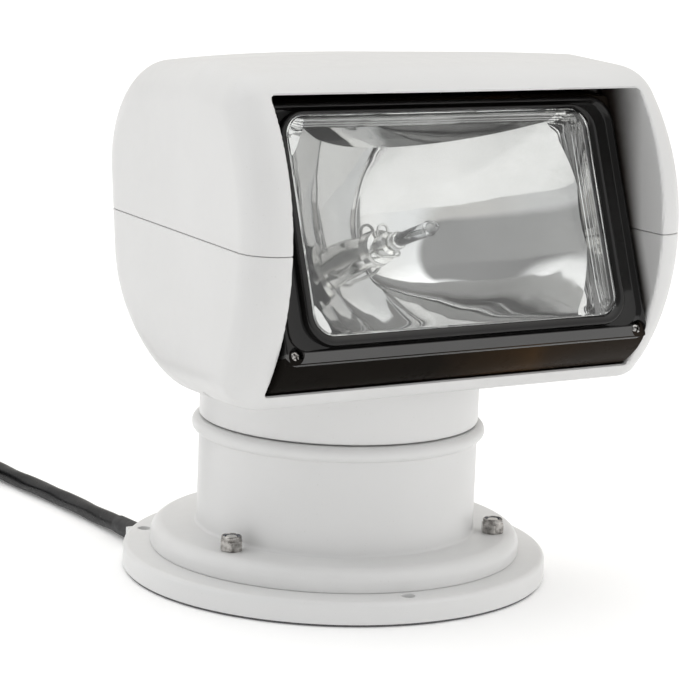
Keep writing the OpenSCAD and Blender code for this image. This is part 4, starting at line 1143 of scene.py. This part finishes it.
def make_bulb():
    """Slim halogen capsule with a stepped tip, its filament and leads, in a plated holder with spring loops."""
    at = lambda p: lamp(np.column_stack([p[:, 0], p[:, 1] + 2.0, p[:, 2]]))
    prof = [(0, -24.1), (2.3, -24.0), (2.6, -23.4), (2.65, -22.5), (2.65, -5.6), (2.55, -4.9), (2.95, -4.4), (2.95, -3.7), (2.5, -3.2), (2.3, -2.6), (2.3, -1.4)] + [
        (2.3 * math.cos(a), -1.4 + 2.3 * math.sin(a)) for a in np.radians(np.linspace(8, 70, 10))] + [
        (0.7, 1.0), (0.65, 1.7), (0.45, 2.3), (0.25, 2.55), (0, 2.6)]
    glass = lathe("bulb_envelope", prof, 64, BULB, place=at, sharp=50.0)
    room = [(0, -23.2), (1.9, -23.2), (2.1, -22.8), (2.1, -5.8), (1.95, -4.8), (1.75, -2.6), (1.75, -1.4)] + [
        (1.75 * math.cos(a), -1.4 + 1.75 * math.sin(a)) for a in np.radians(np.linspace(8, 80, 10))] + [(0, 0.36)]
    boolean(glass, lathe("bulb_room", room, 64, None, place=at), sharp=50.0)
    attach(glass, "lamp")
    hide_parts("bulb_glass")
    s = np.linspace(0, 1, 220)
    coil = np.column_stack([0.7 * np.cos(s * 2 * math.pi * 13), 0.7 * np.sin(s * 2 * math.pi * 13), -18.0 + 9.5 * s])
    leads = [np.array([[0.7, 0.0, -18.0], [1.2, 0.2, -20.5], [1.4, 0.3, -24.4]]),
             np.array([[0.7, 0.0, -8.5], [-0.3, 0.3, -7.0], [-1.6, 0.3, -8.5], [-1.7, 0.3, -16.0], [-1.4, 0.3, -24.4]])]
    fil = join("bulb_filament", [wire("coil", coil, 0.15, CAN, 8)] + [wire("lead", smooth_line(p, 0.4), 0.26, CAN, 8) for p in leads])
    finish_normals(fil, 60.0)
    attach(fil, "lamp")
    prof = [(0, -24.3), (2.9, -24.3), (3.3, -24.6), (3.5, -25.2), (3.5, -27.0), (3.1, -27.4), (3.1, -29.6), (4.4, -30.4), (4.4, -36.6), (6.4, -37.0),
            (6.5, -37.4), (6.5, -44), (10, -44), (10, -45.2), (6.5, -45.2), (6.5, -46), (3, -46), (3, -51.6), (2.6, -52), (0, -52)]
    parts = [lathe("holder", prof, 64, PLATE, place=at)]
    loops = [[(-2.0, 3.4, -35.6), (-2.2, 5.4, -35.0), (-1.7, 7.2, -34.6), (0, 8.0, -34.4), (1.7, 7.2, -34.6), (2.2, 5.4, -35.0), (2.0, 3.4, -35.6)],
             [(-3.6, -1.6, -35.4), (-4.9, -2.6, -33.6), (-4.0, -4.3, -32.0), (0, -5.0, -31.2), (4.0, -4.3, -32.0), (4.9, -2.6, -33.6), (3.6, -1.6, -35.4)]]
    parts += [wire("loop", smooth_line(np.array(p), 0.4), 0.45, PLATE) for p in loops]
    hold = join("bulb_holder", parts)
    finish_normals(hold, 40.0)
    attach(hold, "lamp")
    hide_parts("bulb_base")


make_bulb()


def make_lens_gasket():
    loops = [(rect_loop(65.9, -37.2, 41.2, 7.9, 7.9), 12.38), (rect_loop(65.9, -37.2, 41.2, 7.9, 7.9), 11.42),
             (rect_loop(65.35, -36.65, 40.65, 7.4, 7.4), 11.42), (rect_loop(65.2, -36.5, 40.5, 7.3, 7.3), 11.6),
             (rect_loop(65.2, -36.5, 40.5, 7.3, 7.3), 12.2), (rect_loop(65.35, -36.65, 40.65, 7.4, 7.4), 12.38)]
    ob = loft("lens_gasket_bead", loops, RUBBER)
    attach(ob, "lamp")
    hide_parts("lens_gasket")


make_lens_gasket()

# ------------------------------------------------------------------ finishes of the carried-over CAD pieces

SLOT_OF = {p["node"]: p.get("material_slot", "") for p in frame["record"]["subparts"]}
SPECIAL = {"lamp_bucket": SKIRT, "bulb_base": STEEL, "coil_tie": MATTE, "cable_connector": MATTE, "connector_collar": RUBBER}
for name, ob in NODE.items():
    mat = SPECIAL.get(name) or FINISH.get(SLOT_OF.get(name, ""), MATTE)
    ob.data.materials.clear()
    ob.data.materials.append(mat)

# ------------------------------------------------------------------ stage and light


def make_stage():
    s = 14.0
    me = bpy.data.meshes.new("floor")
    me.from_pydata([(-s, -s, 0), (s, -s, 0), (s, s, 0), (-s, s, 0)], [], [(0, 1, 2, 3)])
    floor = bpy.data.objects.new("floor", me)
    floor.location = (0, 0, -0.0002)
    scene.collection.objects.link(floor)
    m, nt, b = nodes("floor_paper")
    c = coords(nt)
    nt.links.new(ramp(nt, noise(nt, c, 6.0, 3.0), [(0.3, (0.945, 0.945, 0.945)), (0.7, (0.955, 0.955, 0.955))]), b.inputs["Base Color"])
    b.inputs["Roughness"].default_value = 0.8
    b.inputs["Specular IOR Level"].default_value = 0.1
    b.inputs["Emission Color"].default_value = (1.0, 1.0, 1.0, 1.0)
    b.inputs["Emission Strength"].default_value = 0.10
    me.materials.append(m)


def make_world():
    w = bpy.data.worlds.new("studio")
    w.use_nodes = True
    scene.world = w
    nt = w.node_tree
    bg = nt.nodes["Background"]
    d = nt.nodes.new("ShaderNodeTexCoord").outputs["Generated"]

    def towards(v, stops):
        dot = nt.nodes.new("ShaderNodeVectorMath")
        dot.operation = "DOT_PRODUCT"
        nt.links.new(d, dot.inputs[0])
        dot.inputs[1].default_value = Vector(v).normalized()
        return ramp(nt, spread(nt, dot.outputs["Value"], 0.0, 1.0, -1.0, 1.0), stops)

    def times(a, b):
        mul = nt.nodes.new("ShaderNodeMix")
        mul.data_type, mul.blend_type = "RGBA", "MULTIPLY"
        mul.inputs["Factor"].default_value = 1.0
        nt.links.new(a, mul.inputs["A"])
        nt.links.new(b, mul.inputs["B"])
        return mul.outputs["Result"]
    def grey(v, tint=(1.0, 1.0, 1.0)):
        return tuple(v * k / TOP for k in tint)

    def over(mask, below, value):
        mix = nt.nodes.new("ShaderNodeMix")
        mix.data_type = "RGBA"
        nt.links.new(mask, mix.inputs["Factor"])
        nt.links.new(below, mix.inputs["A"])
        mix.inputs["B"].default_value = (*value, 1.0)
        return mix.outputs["Result"]
    TOP = 2.2
    one, none = (1.0, 1.0, 1.0), (0.0, 0.0, 0.0)
    # an even pale dome, brighter overhead and dimmer on the right, with a darker wall high on the left and a window at its end
    c = towards((0, 0, 1), [(0.50, grey(1.18)), (0.66, grey(1.18)), (0.84, grey(1.22)), (0.93, grey(1.85))])
    c = times(c, towards((0.8, 0.6, 0), [(0.25, (0.985, 0.993, 1.0)), (0.55, (1.0, 0.992, 0.975)), (0.9, (0.64, 0.625, 0.60))]))
    c = over(towards((-0.754, -0.633, 0.174), [(0.905, none), (0.935, one)]), c, grey(0.76))
    c = over(towards((-0.53, -0.83, 0.18), [(0.94, none), (0.99, one)]), c, grey(0.72, (1.0, 0.98, 0.95)))
    band = towards((0, 0, 1), [(0.565, none), (0.60, one), (0.925, one), (0.955, none)])
    c = over(times(band, towards((-0.6275, -0.5265, 0.5736), [(0.885, none), (0.912, one)])), c, grey(0.34))
    c = over(towards((-0.72, 0.01, 0.69), [(0.983, none), (0.993, one)]), c, grey(1.7))
    nt.links.new(c, bg.inputs["Color"])
    bg.inputs["Strength"].default_value = TOP


def area(name, at, look, size, power, colour=(1, 1, 1)):
    l = bpy.data.lights.new(name, "AREA")
    l.shape, l.size, l.size_y, l.energy, l.color = "RECTANGLE", size[0], size[1], power, colour
    ob = bpy.data.objects.new(name, l)
    ob.location = at
    ob.rotation_mode = "QUATERNION"
    ob.rotation_quaternion = (Vector(look) - Vector(at)).to_track_quat("-Z", "Y")
    scene.collection.objects.link(ob)


make_stage()
make_world()
scene.view_settings.view_transform = "Standard"
scene.view_settings.look = "None"
